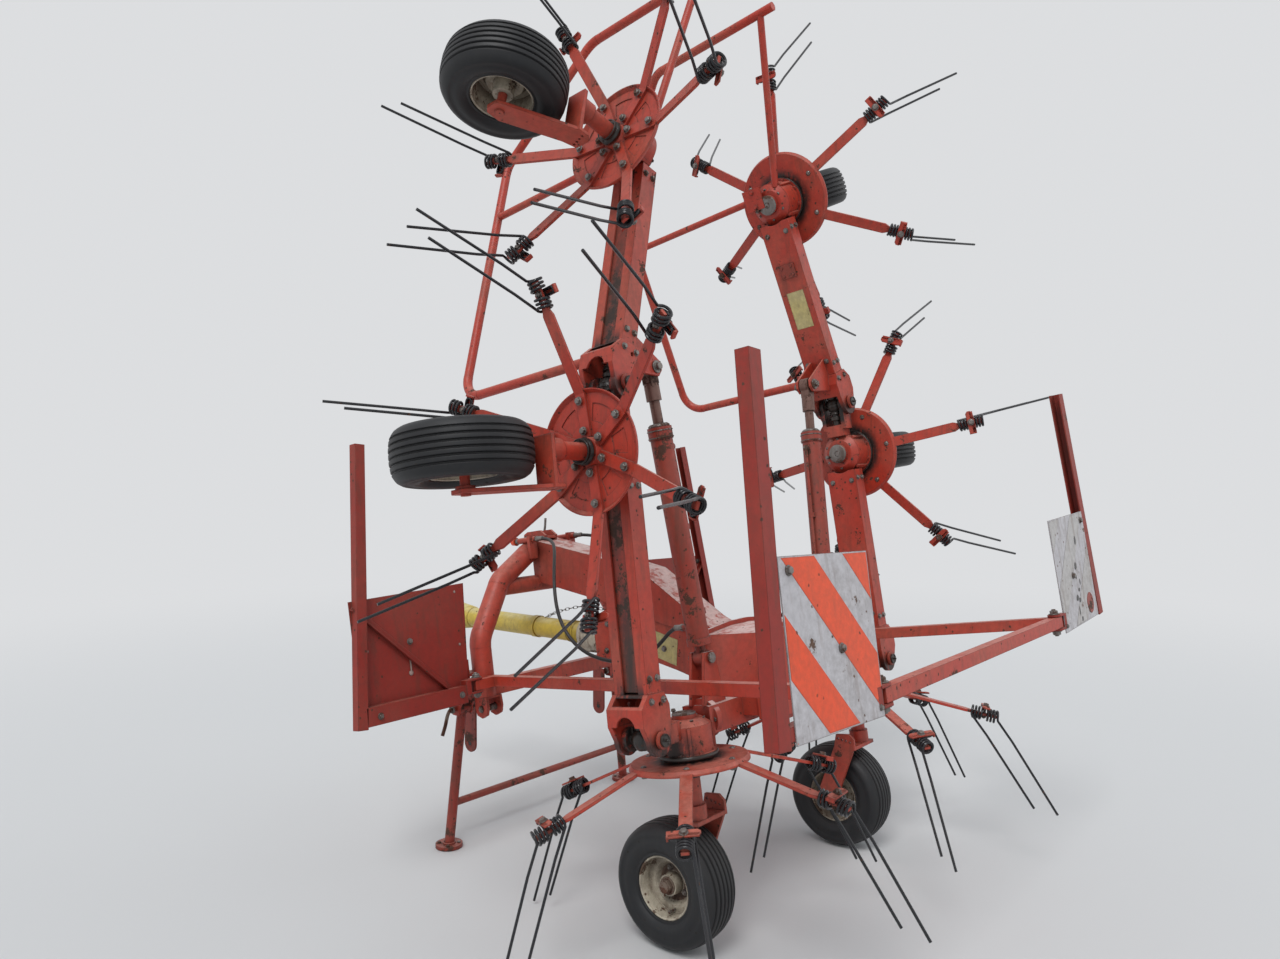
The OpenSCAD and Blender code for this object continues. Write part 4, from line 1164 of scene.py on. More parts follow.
@dataclass(frozen=True)
class Wheels:
    """Ribbed tyres, the rims' lips, hubs and nuts, and the axle ends.

    The crown lists how far the tread lies under the tyre's radius at shares of its width. The bead lists
    heights over the rim, and the wall depths under the tyre's radius, each with its share of the width.
    """

    centre: Triple = (0.0, 0.121, -0.408)
    tyre_radius: float = 0.206
    tyre_width: float = 0.160
    rim_radius: float = 0.1015
    ribs: int = 7
    tread_half: float = 0.42
    groove_half: float = 0.012
    groove_deep: float = 0.006
    rib_round: float = 0.026
    crown: tuple[Pair, ...] = ((-0.42, 0.014), (-0.31, 0.004), (-0.12, 0.0), (0.12, 0.0), (0.31, 0.004),
                               (0.42, 0.014))
    bead: tuple[Pair, ...] = ((0.0, -0.38), (0.004, -0.43), (0.012, -0.425), (0.018, -0.455))
    wall: tuple[Pair, ...] = ((0.078, -0.487), (0.070, -0.500), (0.058, -0.503), (0.054, -0.495),
                              (0.040, -0.492), (0.036, -0.500), (0.030, -0.492), (0.022, -0.462),
                              (0.017, -0.440))
    lip_at: float = 0.0608
    dish: float = 0.017
    nuts: int = 5
    nut: float = 0.019
    nut_circle: float = 0.0475
    valve: float = 0.082
    core: tuple[Pair, ...] = ((0.031, 0.0), (0.031, 0.0035), (0.040, 0.0035), (0.0435, 0.0012),
                              (0.060, 0.0012), (0.066, 0.0))
    washer: Triple = (0.029, 0.004, 0.0405)
    castle: Triple = (0.024, 0.014, 0.0445)
    collar: Triple = (0.019, 0.005, 0.0585)
    split_pin: Triple = (0.0025, 0.054, 0.061)

    def crown_radius(self, x: float) -> float:
        """The tread's radius at a share of the width."""
        (x0, d0), (x1, d1) = next(s for s in zip(self.crown, self.crown[1:]) if x <= s[1][0])
        return self.tyre_radius - (d0 + (d1 - d0) * (x - x0) / (x1 - x0))

    def tread(self) -> list[Pair]:
        """The tyre's section as radius and place along the axle.

        Returns:
            The section's corners.
        """
        wall = [(self.rim_radius + up, x) for up, x in self.bead]
        wall += [(self.tyre_radius - down, x) for down, x in self.wall]
        section = list(wall)
        pitch = 2 * self.tread_half / self.ribs
        for k in range(self.ribs):
            left = -self.tread_half + k * pitch
            if k:
                section += [(self.crown_radius(x) - self.groove_deep, x)
                            for x in (left - self.groove_half, left + self.groove_half)]
            section += [(self.crown_radius(left + t), left + t)
                        for t in (self.rib_round, pitch / 2, pitch - self.rib_round)]
        section += [(radius, -x) for radius, x in reversed(wall)]
        return [(radius, x * self.tyre_width) for radius, x in section]

    def build(self) -> None:
        """Builds the six wheels' pieces."""
        for place, side, name in rotor_places():
            axle = FRAME.rotor(place, side) @ move(*self.centre) @ turn(90, "Y")
            tyre = Shape()
            tyre.lathe(self.tread(), axle, 72)
            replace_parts(tyre.done(f"tread_{name}", RUBBER, f"wheel_{name}", "tyre"), f"tyre_{name}")
            self.rim(name, axle)
            self.axle_end(name, carrier(place, side), axle)

    def rim(self, name: str, axle: Matrix) -> None:
        """Adds the rolled lips, the rusty hub, the nuts and the valve to a rim.

        Args:
            name: The wheel's place and side.
            axle: Its axes, Z outwards.
        """
        lips, nuts, core = Shape(), Shape(), Shape()
        for z in (-self.lip_at, self.lip_at):
            lips.ring(self.rim_radius - 0.001, 0.0042, axle @ move(0, 0, z), 48)
        lips.ring(0.0365, 0.0035, axle @ move(0, 0, 0.001), 32)
        lips.ring(self.rim_radius - 0.0085, 0.0035, axle @ move(0, 0, self.dish), 48, 6)
        for k in range(self.nuts):
            nuts.nut(self.nut, axle @ turn(k * 360 / self.nuts + 20, "Z") @ move(self.nut_circle))
        nuts.post(0.004, 0.028, axle @ move(self.valve, 0.0, self.dish), 10)
        nuts.post(0.0055, 0.010, axle @ move(self.valve, 0.0, 0.040), 10)
        core.lathe(self.core, axle, 48)
        core.done(f"rim_core_{name}", RIM_CORE, f"wheel_{name}", "rim_cream")
        lips.done(f"rim_lips_{name}", CREAM, f"wheel_{name}", "rim_cream")
        nuts.done(f"rim_nuts_{name}", STEEL, f"wheel_{name}", "bare_steel")

    def axle_end(self, name: str, body: str, axle: Matrix) -> None:
        """Adds the washer, castle nut and pin on an axle.

        Args:
            name: The wheel's place and side.
            body: What carries the axle.
            axle: Its axes, Z outwards.
        """
        shape = Shape()
        for (radius, tall, z), sides in ((self.washer, 28), (self.castle, 6), (self.collar, 18)):
            shape.post(radius, tall, axle @ move(0, 0, z), sides)
        radius, long, z = self.split_pin
        shape.post(radius, long, axle @ move(-long / 2, 0, z) @ turn(90, "Y"), 8)
        shape.done(f"axle_nut_{name}", RUSTY, body, "bare_steel")


@dataclass(frozen=True)
class Rotors:
    """Bolt heads and seals on the rotor discs, and bolts on the gearboxes."""

    arm_bolt: float = 0.021
    arm_bolts: Pair = (0.066, 0.162)
    arm_under: float = -0.024
    bolt_end: Triple = (0.011, 0.005, 0.006)
    hub_bolt: Triple = (0.017, 0.056, 0.006)
    seal: tuple[Pair, ...] = ((0.0285, -0.046), (0.040, -0.046), (0.044, -0.036), (0.0285, -0.036))
    seal_ring: Triple = (0.0375, 0.003, -0.056)
    skirt: tuple[Pair, ...] = ((0.0962, 0.010), (0.0990, 0.010), (0.0990, 0.017), (0.0962, 0.021))
    top: float = 0.140
    cap: tuple[Pair, ...] = ((0.012, 0.0), (0.040, 0.0), (0.040, 0.003), (0.036, 0.006), (0.012, 0.006))
    cap_bolt: Pair = (0.024, -0.003)
    cover_bolts: int = 6
    cover_bolt: Triple = (0.013, 0.064, 0.1225)
    cover_slope: float = 38.0
    plug_turn: float = 100.0
    plug: Pair = (0.050, 0.126)

    def build(self) -> None:
        """Adds the small parts of every rotor and gearbox."""
        for place, side, name in rotor_places():
            base, body = FRAME.rotor(place, side), carrier(place, side)
            disc = self.disc(FRAME.spun(place, side))
            disc.done(f"disc_bolts_{name}", STEEL, f"rotor_{name}", "bare_steel")
            seal = Shape()
            seal.lathe(self.seal, base, 32)
            radius, wire, z = self.seal_ring
            seal.ring(radius, wire, base @ move(0, 0, z), 32)
            seal.lathe(self.skirt, base, 48)
            seal.done(f"column_seal_{name}", GREASE, body, "spring_black")
            self.gearbox(base).done(f"gearbox_bolts_{name}", STEEL, body, "bare_steel")

    def disc(self, spun: Matrix) -> Shape:
        """The bolts on one disc, at axes turned to its first arm.

        Args:
            spun: The axes.

        Returns:
            The shape.
        """
        disc = Shape()
        for i in range(FRAME.arms):
            arm = spun @ turn(i * 360 / FRAME.arms, "Z")
            for radius in self.arm_bolts:
                disc.bolt(self.arm_bolt, arm @ move(radius, 0, self.arm_under) @ turn(180, "X"))
            foot, tall, top = self.bolt_end
            disc.post(foot, tall, arm @ move(self.arm_bolts[1]), 16, top)
            wide, radius, z = self.hub_bolt
            disc.bolt(wide, arm @ turn(180 / FRAME.arms, "Z") @ move(radius, 0, z))
        return disc

    def gearbox(self, base: Matrix) -> Shape:
        """The cap, bolts and oil plug on one gearbox, at its rotor's axes.

        Args:
            base: The axes.

        Returns:
            The shape.
        """
        top = Shape()
        at = base @ move(0, 0, self.top)
        top.lathe(self.cap, at, 32)
        top.bolt(self.cap_bolt[0], at @ move(0, 0, self.cap_bolt[1]), washer=False)
        wide, radius, z = self.cover_bolt
        for k in range(self.cover_bolts):
            top.bolt(wide, base @ turn(k * 360 / self.cover_bolts, "Z") @ move(radius, 0, z)
                     @ turn(-self.cover_slope, "Y"), False)
        radius, z = self.plug
        plug = base @ turn(self.plug_turn, "Z")
        top.post(0.005, 0.022, plug @ move(radius, 0, z), 10)
        top.post(0.009, 0.008, plug @ move(radius, 0, z + 0.020), 12, 0.006)
        return top


@dataclass(frozen=True)
class Hinges:
    """Drive joints inside the hoods, and the pins' ends, nipples and bolts."""

    ball: float = 0.0345
    folds: Triple = (-0.012, 0.0, 0.012)
    shaft: Triple = (0.017, 0.060, 0.036)
    collar: Triple = (0.026, 0.016, 0.052)
    throat: Triple = (0.022, 0.012, 0.030)
    tongue: Triple = (0.034, 0.008, 0.024)
    tongue_at: Pair = (0.020, 0.0305)
    fold_rise: float = 0.0004
    fold_wire: float = 0.0014
    nipple: Pair = (0.005, 0.014)
    nipple_at: float = 0.070
    ear: float = 0.0865
    pin_head: Pair = (0.020, 0.006)
    pin_ring: Triple = (0.0185, 0.002, 0.007)
    pin_nipple: Triple = (0.004, 0.010, 0.005)
    pin_tip: Triple = (0.0055, 0.005, 0.014)
    tip_end: float = 0.003
    hood_bolt: float = 0.017
    hood_bolts: Pair = (0.118, 0.0735)
    hood_levels: Pair = (0.030, -0.026)

    def build(self) -> None:
        """Adds the parts of both hinges of each half."""
        for side in Side:
            for place, inboard in ((Place.INNER, Place.CENTRE), (Place.OUTER, Place.INNER)):
                self.joint(f"{place.value}_{side.word}", FRAME.seat(place, side), FRAME.wing(place, side),
                           carrier(inboard, side), carrier(place, side))

    def joint(self, name: str, fixed: Matrix, swung: Matrix, inboard: str, outboard: str) -> None:
        """Adds one drive joint and the small parts of its hinge.

        Args:
            name: The hinge's place and side.
            fixed: Axes at the pin, along the inboard beam.
            swung: Axes at the pin, along the outboard beam.
            inboard: The body on the middle's side.
            outboard: The body beyond the hinge.
        """
        inner, outer, bolts, pins = Shape(), Shape(), Shape(), Shape()
        for shape, at in ((inner, fixed @ turn(180, "Z")), (outer, swung)):
            for (radius, long, x), sides, end in ((self.shaft, 20, None), (self.collar, 24, None),
                                                  (self.throat, 20, self.collar[0])):
                shape.post(radius, long, at @ move(x) @ turn(90, "Y"), sides, end)
        inner.ball(self.ball, fixed, 24)
        for z in self.folds:
            radius = math.sqrt(self.ball ** 2 - z * z) + self.fold_rise
            inner.ring(radius, self.fold_wire, fixed @ turn(90, "Y") @ move(0, 0, z), 32, 6)
        for s in (-1, 1):
            outer.box(self.tongue, swung @ move(self.tongue_at[0], s * self.tongue_at[1], 0))
            outer.post(*self.nipple, swung @ move(self.nipple_at) @ turn(90 * s, "X"), 8)
            face = fixed @ move(0, s * self.ear, 0) @ turn(-90 * s, "X")
            pins.post(*self.pin_head, face, 24)
            radius, wire, z = self.pin_ring
            pins.ring(radius, wire, face @ move(0, 0, z), 20, 6)
            for (radius, tall, z), end in ((self.pin_nipple, None), (self.pin_tip, self.tip_end)):
                pins.post(radius, tall, face @ move(0, 0, z), 8, end)
            x, y = self.hood_bolts
            for z in self.hood_levels:
                bolts.bolt(self.hood_bolt, swung @ move(x, s * y, z) @ turn(-90 * s, "X"))
        inner.done(f"joint_root_{name}", GREASE, inboard, "spring_black")
        outer.done(f"joint_fork_{name}", GREASE, outboard, "spring_black")
        pins.done(f"hinge_pins_{name}", GREASE, inboard, "bare_steel")
        bolts.done(f"hood_bolts_{name}", STEEL, outboard, "bare_steel")


@dataclass(frozen=True)
class Guards:
    """Stripes, marks and bolts of the rear boards, and the pins of all four guard arms.

    The bolts are places on the board and widths. A flake is a share of its place's size, and the flakes are
    places on the board with their widths and heights.
    """

    board: Triple = (0.945, -0.8158, 0.407)
    board_half: float = 0.2115
    board_lean: float = -2.5
    film_edge: float = 0.004
    film: float = 0.0005
    stripe: float = 0.146
    period: float = 0.284
    first: float = 0.010
    bolts: tuple[Triple, ...] = ((0.172, 0.178, 0.020), (-0.030, -0.020, 0.020), (-0.194, -0.188, 0.013))
    rear_pivot: Pair = (0.7, -0.796)
    pin_nut: float = 0.030
    pin_face: float = 0.0300
    patch: Triple = (0.131, -0.150, 0.041)
    flake: tuple[Pair, ...] = ((-0.5, -0.3), (-0.1, -0.5), (0.45, -0.25), (0.5, 0.2), (0.1, 0.5),
                               (-0.35, 0.3))
    flakes: tuple[tuple[float, float, float, float], ...] = (
        (0.065, 0.107, 0.022, 0.036), (0.020, 0.011, 0.026, 0.030), (0.006, -0.030, 0.014, 0.018),
        (0.044, -0.054, 0.010, 0.024), (0.019, -0.082, 0.020, 0.014), (-0.016, -0.109, 0.028, 0.024),
        (0.010, -0.121, 0.022, 0.020), (-0.014, -0.160, 0.012, 0.036), (0.003, -0.193, 0.020, 0.020))

    def face(self, side: Side, out: float, x: float = 0.0, z: float = 0.0) -> Matrix:
        """Axes on a board's rear face, Z to the rear.

        Args:
            side: The board's half.
            out: How far they lie behind the sheet's middle.
            x: Their place across the board.
            z: Their place up the board.

        Returns:
            The axes.
        """
        board = FRAME.half(side) @ move(*self.board) @ turn(self.board_lean, "Y")
        return board @ move(x, -out, z) @ turn(90, "X")

    def stripes(self, side: Side, finish: Finish) -> None:
        """Lays slanted stripes on a board's rear face.

        Args:
            side: The board's half.
            finish: Their finish.
        """
        shape = Shape()
        inside = self.board_half - self.film_edge
        for k in range(-4, 5):
            start = self.first + k * self.period
            part = bmesh.new()
            end = start + self.stripe
            part.faces.new([part.verts.new((-x, y, 0)) for x, y in (
                (start - 1, 1), (end - 1, 1), (end + 1, -1), (start + 1, -1))])
            for way in ((1, 0, 0), (-1, 0, 0), (0, 1, 0), (0, -1, 0)):
                bmesh.ops.bisect_plane(part, geom=part.verts[:] + part.edges[:] + part.faces[:],
                                       plane_co=Vector(way) * inside, plane_no=way, clear_outer=True)
            Shape.thicken(part, self.film)
            shape.add(part, self.face(side, 0.0016))
        shape.done(f"stripes_{side.word}", finish, f"guard_rear_{side.word}", "board_white", smooth=False)

    def marks(self) -> None:
        """Lays the right board's dull round patch and what is left of its dark film."""
        face = self.face(Side.RIGHT, 0.0020)
        x, z, radius = self.patch
        patch, flakes = Shape(), Shape()
        patch.post(radius, 0.0008, face @ move(x, z), 32)
        patch.done("board_patch_right", DARK_PAINT, "guard_rear_right", "board_white")
        for x, z, wide, tall in self.flakes:
            flakes.slab([(u * wide, v * tall) for u, v in self.flake], self.film, face @ move(x, z))
        flakes.done("board_flakes_right", GREASE, "guard_rear_right", "board_white", smooth=False)

    def build(self) -> None:
        """Adds the parts of both halves."""
        self.marks()
        for side in Side:
            self.stripes(side, STRIPE if side is Side.LEFT else STRIPE_PALE)
            bolts, pins = Shape(), Shape()
            for x, z, wide in self.bolts:
                bolts.bolt(wide, self.face(side, 0.0021, x, z))
            bolts.done(f"board_bolts_{side.word}", STEEL, f"guard_rear_{side.word}", "bare_steel")
            for pivot in (self.rear_pivot, FRAME.guard_pivot):
                at = FRAME.half(side) @ move(*pivot, FRAME.rail_height)
                pins.nut(self.pin_nut, at @ move(0, 0, self.pin_face))
                pins.nut(self.pin_nut, at @ move(0, 0, -self.pin_face) @ turn(180, "X"))
            pins.done(f"guard_pins_{side.word}", STEEL, "chassis", "bare_steel")


@dataclass(frozen=True)
class FrontGuards:
    """The front arms, each with its fork, bar, channel post and braced plate."""

    reach: float = 0.537
    fork: Triple = (0.0255, 0.024, 0.008)
    fork_end: float = 0.044
    block: Triple = (0.024, 0.044, 0.057)
    block_at: float = 0.054
    post: Triple = (0.042, 0.036, 1.034)
    post_wall: float = 0.004
    bar: Pair = (-0.058, 0.010)
    bar_start: float = 0.062
    bar_wall: float = 0.006
    bar_deep: float = 0.034
    plate: tuple[Pair, ...] = ((0.030, -0.030), (0.517, -0.030), (0.529, 0.392), (0.002, 0.408))
    plate_sheet: float = 0.003
    plate_at: float = 0.019
    brace: float = 0.545
    brace_at: Triple = (0.318, 0.0125, 0.186)
    brace_slope: float = 42.6
    lean: float = 5.5
    bolt: float = 0.019
    bolts: tuple[Triple, ...] = ((0.283, 0.0160, 0.215), (0.482, 0.0160, 0.366), (0.462, -0.018, -0.028),
                                 (0.090, -0.018, -0.022))

    def build(self) -> None:
        """Builds both arms in place of their plain solids."""
        for side in Side:
            axes = FRAME.half(side) @ move(*FRAME.guard_pivot, FRAME.rail_height)
            body = f"guard_front_{side.word}"
            arm, bolts = Shape(), Shape()
            self.forked(arm, axes)
            self.barred(arm, axes)
            self.channel(arm, axes @ move(self.reach, 0, self.bar[0] - self.bar_wall) @ turn(-self.lean, "Y"))
            arm.slab(self.plate, self.plate_sheet, axes @ move(0, self.plate_at, 0) @ turn(90, "X"))
            brace = axes @ move(*self.brace_at) @ turn(-self.brace_slope, "Y")
            arm.box((self.brace, 0.006, 0.024), brace)
            arm.box((self.brace, 0.014, 0.004), brace @ move(0, -0.009, -0.0100))
            for place in self.bolts:
                bolts.bolt(self.bolt, axes @ move(*place) @ turn(90, "X"))
            item = arm.done(f"front_guard_{side.word}", BOARD_PAINT, body, "paint")
            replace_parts(item, f"arm_front_{side.word}")
            bolts.done(f"front_guard_bolts_{side.word}", STEEL, body, "bare_steel")

    def forked(self, arm: Shape, axes: Matrix) -> None:
        """Adds the fork's two ears and the block behind them.

        Args:
            arm: Where they go.
            axes: Axes at the pivot.
        """
        height, radius, thick = self.fork
        ear = [*half_round(radius, 90), (self.fork_end, -radius), (self.fork_end, radius)]
        for s in (-1, 1):
            arm.slab(ear, thick, axes @ move(0, 0, s * height - thick / 2), 0.0008)
        arm.box(self.block, axes @ move(self.block_at))

    def barred(self, arm: Shape, axes: Matrix) -> None:
        """Adds the angle bar.

        Args:
            arm: Where it goes.
            axes: Axes at the pivot.
        """
        low, high = self.bar
        wall, deep = self.bar_wall, self.bar_deep
        long = self.reach - 0.020 - self.bar_start
        middle = axes @ move(self.bar_start + long / 2)
        arm.box((long, wall, high - low), middle @ move(0, -0.015, (low + high) / 2))
        arm.box((long, deep, wall), middle @ move(0, 0, high - wall / 2))

    def channel(self, arm: Shape, at: Matrix) -> None:
        """Adds the channel post, open inwards.

        Args:
            arm: Where it goes.
            at: Axes at its foot.
        """
        wide, deep, tall = self.post
        x, y, wall = wide / 2, deep / 2, self.post_wall
        arm.slab([(-x, -y), (x, -y), (x, y), (-x, y), (-x, y - wall), (x - wall, y - wall),
                  (x - wall, wall - y), (-x, wall - y)], tall, at, 0.001)


@dataclass(frozen=True)
class Cylinders:
    """Glands, rings, ports and pins of the folding cylinders."""

    foot: Pair = (0.420, 0.300)
    head: Pair = (0.141, 0.174)
    neck: float = 0.2
    gland: tuple[Pair, ...] = ((0.0185, 0.0), (0.037, 0.0), (0.037, 0.006), (0.030, 0.012), (0.0185, 0.012))
    rings: Pair = (-0.012, -0.036)
    ring: Pair = (0.0425, 0.0022)
    port: Triple = (0.0125, 0.012, 0.043)
    foot_port: float = 0.106
    head_port: float = 0.27
    eye: float = 0.034
    head_pin: float = 0.0128
    head_collar: Pair = (0.0215, 0.007)
    head_end: Pair = (0.0125, 0.020)
    head_clip: Pair = (0.002, 0.034)
    head_clip_at: Triple = (-0.017, 0.0, 0.016)
    ear: float = 0.039
    foot_collar: Pair = (0.0185, 0.006)
    foot_clip: Pair = (0.0022, 0.040)
    foot_clip_at: Triple = (-0.020, 0.0, 0.003)

    def build(self) -> None:
        """Adds the parts of both cylinders."""
        for side in Side:
            word = side.word
            foot = FRAME.half(side) @ move(self.foot[0], 0, self.foot[1])
            head = FRAME.wing(Place.OUTER, side) @ move(self.head[0], 0, self.head[1])
            way = foot.inverted() @ head.translation
            along = foot @ turn(-math.degrees(math.atan2(way.z, way.x)), "Y")
            self.barrel(along, way.length).done(f"gland_{word}", STEEL, f"cylinder_{word}", "bare_steel")
            pins = Shape()
            for s in (-1, 1):
                face = head @ move(0, s * self.eye, 0) @ turn(-90 * s, "X")
                pins.post(*self.head_collar, face, 24)
                pins.post(*self.head_end, face, 16)
                pins.post(*self.head_clip, face @ move(*self.head_clip_at) @ turn(90, "Y"), 6)
            pins.post(self.head_pin, 2 * self.eye, head @ move(0, self.eye, 0) @ turn(90, "X"), 20)
            pins.done(f"head_pin_{word}", STEEL, f"wing_outer_{word}", "bare_steel")
            pins = Shape()
            for s in (-1, 1):
                face = foot @ move(0, s * self.ear, 0) @ turn(-90 * s, "X")
                pins.post(*self.foot_collar, face, 24)
                pins.post(*self.foot_clip, face @ move(*self.foot_clip_at) @ turn(90, "Y"), 6)
            pins.done(f"foot_pin_{word}", STEEL, "chassis", "bare_steel")

    def barrel(self, along: Matrix, long: float) -> Shape:
        """The gland, rings and ports on one barrel.

        Args:
            along: Axes at the foot, X along the barrel.
            long: From the foot's pin to the rod's eye.

        Returns:
            The shape.
        """
        gland = Shape()
        neck = along @ move(long - self.neck) @ turn(90, "Y")
        gland.lathe(self.gland, neck, 32)
        for z in self.rings:
            gland.ring(*self.ring, neck @ move(0, 0, z), 40, 6)
        radius, tall, out = self.port
        for at in (along @ move(self.foot_port) @ turn(-90, "X"), along @ move(long - self.head_port)):
            gland.post(radius, tall, at @ move(0, 0, out), 6)
        return gland


@dataclass(frozen=True)
class Hoses:
    """The two hydraulic hoses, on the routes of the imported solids, with their couplings.

    The route's points are in millimetres, in the frame's axes.
    """

    route: tuple[Triple, ...] = (
        (120, 1059.7, 790), (120, 1040, 790), (128, 990, 784), (146, 945, 772), (176, 900, 752),
        (214, 860, 722), (254, 826, 682), (290, 798, 632), (318, 776, 574), (336, 757, 512),
        (346, 734, 452), (351, 700, 398), (354, 655, 354), (356, 600, 321), (358, 545, 302),
        (361, 485, 290), (365, 425, 285), (372, 362, 286), (380, 306, 294), (388, 260, 310),
        (396, 214, 338), (404, 172, 364), (415, 136, 386), (424, 106, 399), (429, 84, 404),
        (430.3, 68, 405.5), (430.3, 54.4, 405.5))
    wide: float = 0.014
    start: Triple = (0.120, 1.060, 0.790)
    port: Triple = (0.4303, 0.0544, 0.4055)
    coupling: Triple = (0.120, 1.170, 0.790)
    collar: Pair = (0.0125, 0.012)
    ferrule: float = 0.0098
    ferrule_at: float = 0.008
    ferrule_long: Pair = (0.034, 0.030)
    tip: Pair = (0.0115, 0.022)
    tip_nut: Pair = (0.0135, 0.010)
    cap: Triple = (0.0175, 0.024, 0.015)
    cap_at: float = 0.018
    cap_ring: Triple = (0.0165, 0.0025, 0.020)

    def build(self) -> None:
        """Adds both hoses."""
        for side in Side:
            half, word = FRAME.half(side), side.word
            points = [half @ (Vector(p) / 1000) for p in self.route]
            path = curve(points, 3)
            shape = Shape()
            shape.tube(path, self.wide / 2, 12)
            item = shape.done(f"hydraulic_hose_{word}", HOSE, "chassis", "spring_black")
            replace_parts(item, f"hose_{word}")
            ends, cap = Shape(), Shape()
            for at, long in zip((half @ move(*self.start) @ turn(90, "X"),
                                 half @ move(*self.port) @ turn(-90, "X")), self.ferrule_long):
                ends.post(*self.collar, at, 6)
                ends.post(self.ferrule, long, at @ move(0, 0, self.ferrule_at), 16)
            coupling = half @ move(*self.coupling) @ turn(-90, "X")
            ends.post(*self.tip, coupling, 16)
            ends.post(*self.tip_nut, coupling @ move(0, 0, self.ferrule_at), 6)
            ends.done(f"hose_ends_{word}", STEEL, "chassis", "bare_steel")
            radius, tall, end = self.cap
            cap.post(radius, tall, coupling @ move(0, 0, self.cap_at), 20, end)
            radius, wire, z = self.cap_ring
            cap.ring(radius, wire, coupling @ move(0, 0, z), 20, 6)
            cap.done(f"hose_cap_{word}", STRIPE, "chassis", "guard_yellow")
            length = sum((b - a).length for a, b in zip(path, path[1:]))
            tuple(points[0])
            [tuple(p) for p in path]


@dataclass(frozen=True)
class Headstock:
    """Hitch pins, drive shaft guards, the stand's pins and locks, bolts and blank stickers.

    Places on the headstock and the middle are in the frame's axes, and the stand's are in the room's.
    """

    lower_pin: Triple = (0.412, 1.140, 0.120)
    lower: Triple = (0.0138, 0.103, -0.056)
    lower_collar: Triple = (0.019, 0.004, -0.0465)
    lower_ring: Triple = (0.020, 0.0022, -0.012)
    lower_clip: Triple = (0.0035, 0.042, -0.020)
    clip_at: float = -0.0525
    top_pin: Triple = (0.0, 1.202, 0.801)
    top: Triple = (0.0124, 0.100, -0.050)
    top_collar: Triple = (0.020, 0.008, 0.038)
    top_ring: Pair = (0.019, 0.002)
    top_ring_at: Triple = (-0.045, 0.0, -0.010)
    handle_wire: float = 0.0055
    handle: tuple[Triple, ...] = ((0.046, 0.0, 0.0), (0.060, 0.0, 0.004), (0.066, -0.01, 0.045),
                                  (0.066, -0.02, 0.085))
    shaft_start: Triple = (0.0, 0.830, 0.345)
    shaft_rise: float = 8.0
    guard_bore: float = 0.0452
    guard_ribs: tuple[float, ...] = (0.160, 0.172, 0.184, 0.196)
    cone: tuple[Pair, ...] = ((0.052, 0.872), (0.066, 0.985), (0.070, 1.0), (0.070, 1.018), (0.066, 1.018),
                              (0.060, 0.99))
    yoke_at: float = 1.072
    yoke_ear: tuple[Pair, ...] = ((-0.018, -0.012), (0.018, -0.012), (0.024, 0.030), (0.012, 0.046),
                                  (-0.012, 0.046), (-0.024, 0.030))
    chain: tuple[Triple, ...] = ((0.0, -0.047, 0.36), (0.02, -0.080, 0.28), (0.05, -0.105, 0.16),
                                 (0.085, -0.090, 0.04))
    chain_link: Pair = (0.0082, 0.0016)
    stand_pin: Triple = (0.468, 0.69201, 0.560)
    stand_ear: float = 0.0495
    stand_washer: Pair = (0.017, 0.005)
    stand_ring: Triple = (0.014, 0.002, 0.006)
    stand_splay: float = 7.3
    stand_weld: Triple = (0.0225, 0.005, 0.016)
    stand_bolts: int = 4
    stand_bolt: Triple = (0.015, 0.040, 0.014)
    grip_wire: float = 0.0075
    grip: tuple[Pair, ...] = ((0.517, 0.0), (0.532, -0.002), (0.545, -0.022), (0.556, -0.060),
                              (0.571, -0.098))
    lock_at: Triple = (0.398, 0.036, 0.385)
    lock_half: float = 0.036
    lock_long: float = 0.185
    lock_thick: float = 0.008
    lock_ring: Pair = (0.0105, 0.0016)
    lock_hole: float = 0.0095
    lock_proud: float = 0.0005
    cover_bolts: tuple[Pair, ...] = ((0.088, 0.3366), (0.19536, 0.27), (0.2596, 0.153))
    cover_face: float = 0.164328
    box_bolt: float = 0.019
    flange: Triple = (0.462, 0.105, 0.055)
    flange_bolts: int = 6
    flange_bolt: float = 0.015
    beam_bolts: tuple[Pair, ...] = ((0.60, 0.365), (0.74, 0.40), (0.60, 0.29), (0.76, 0.29), (0.45, 0.29))
    beam_side: float = 0.075
    sticker_at: float = 0.0752
    sticker_film: float = 0.0006
    sticker: tuple[Pair, ...] = ((0.558, 0.388), (0.377, 0.322), (0.398, 0.221), (0.574, 0.288))

    def build(self) -> None:
        """Adds the front's parts."""
        self.hitch()
        self.shaft()
        self.handles()
        self.locks()
        self.stand()
        self.middle()

    def hitch(self) -> None:
        """Adds the lower pins, and the top pin with its handle."""
        steel = Shape()
        for side in Side:
            at = FRAME.half(side) @ move(*self.lower_pin)
            for radius, long, x in (self.lower, self.lower_collar):
                steel.post(radius, long, at @ move(x) @ turn(90, "Y"), 24)
            radius, wire, z = self.lower_ring
            steel.ring(radius, wire, at @ move(self.clip_at, 0, z) @ turn(90, "Y"), 24, 6)
            radius, tall, z = self.lower_clip
            steel.post(radius, tall, at @ move(self.clip_at, 0, z), 8)
        top = FRAME.base() @ move(*self.top_pin)
        for radius, long, x in (self.top, self.top_collar):
            steel.post(radius, long, top @ move(x) @ turn(90, "Y"), 24)
        steel.ring(*self.top_ring, top @ move(*self.top_ring_at) @ turn(90, "Y"), 24, 6)
        steel.tube(curve([top @ Vector(p) for p in self.handle], 6), self.handle_wire, 8)
        steel.done("hitch_pins", STEEL, "chassis", "bare_steel")

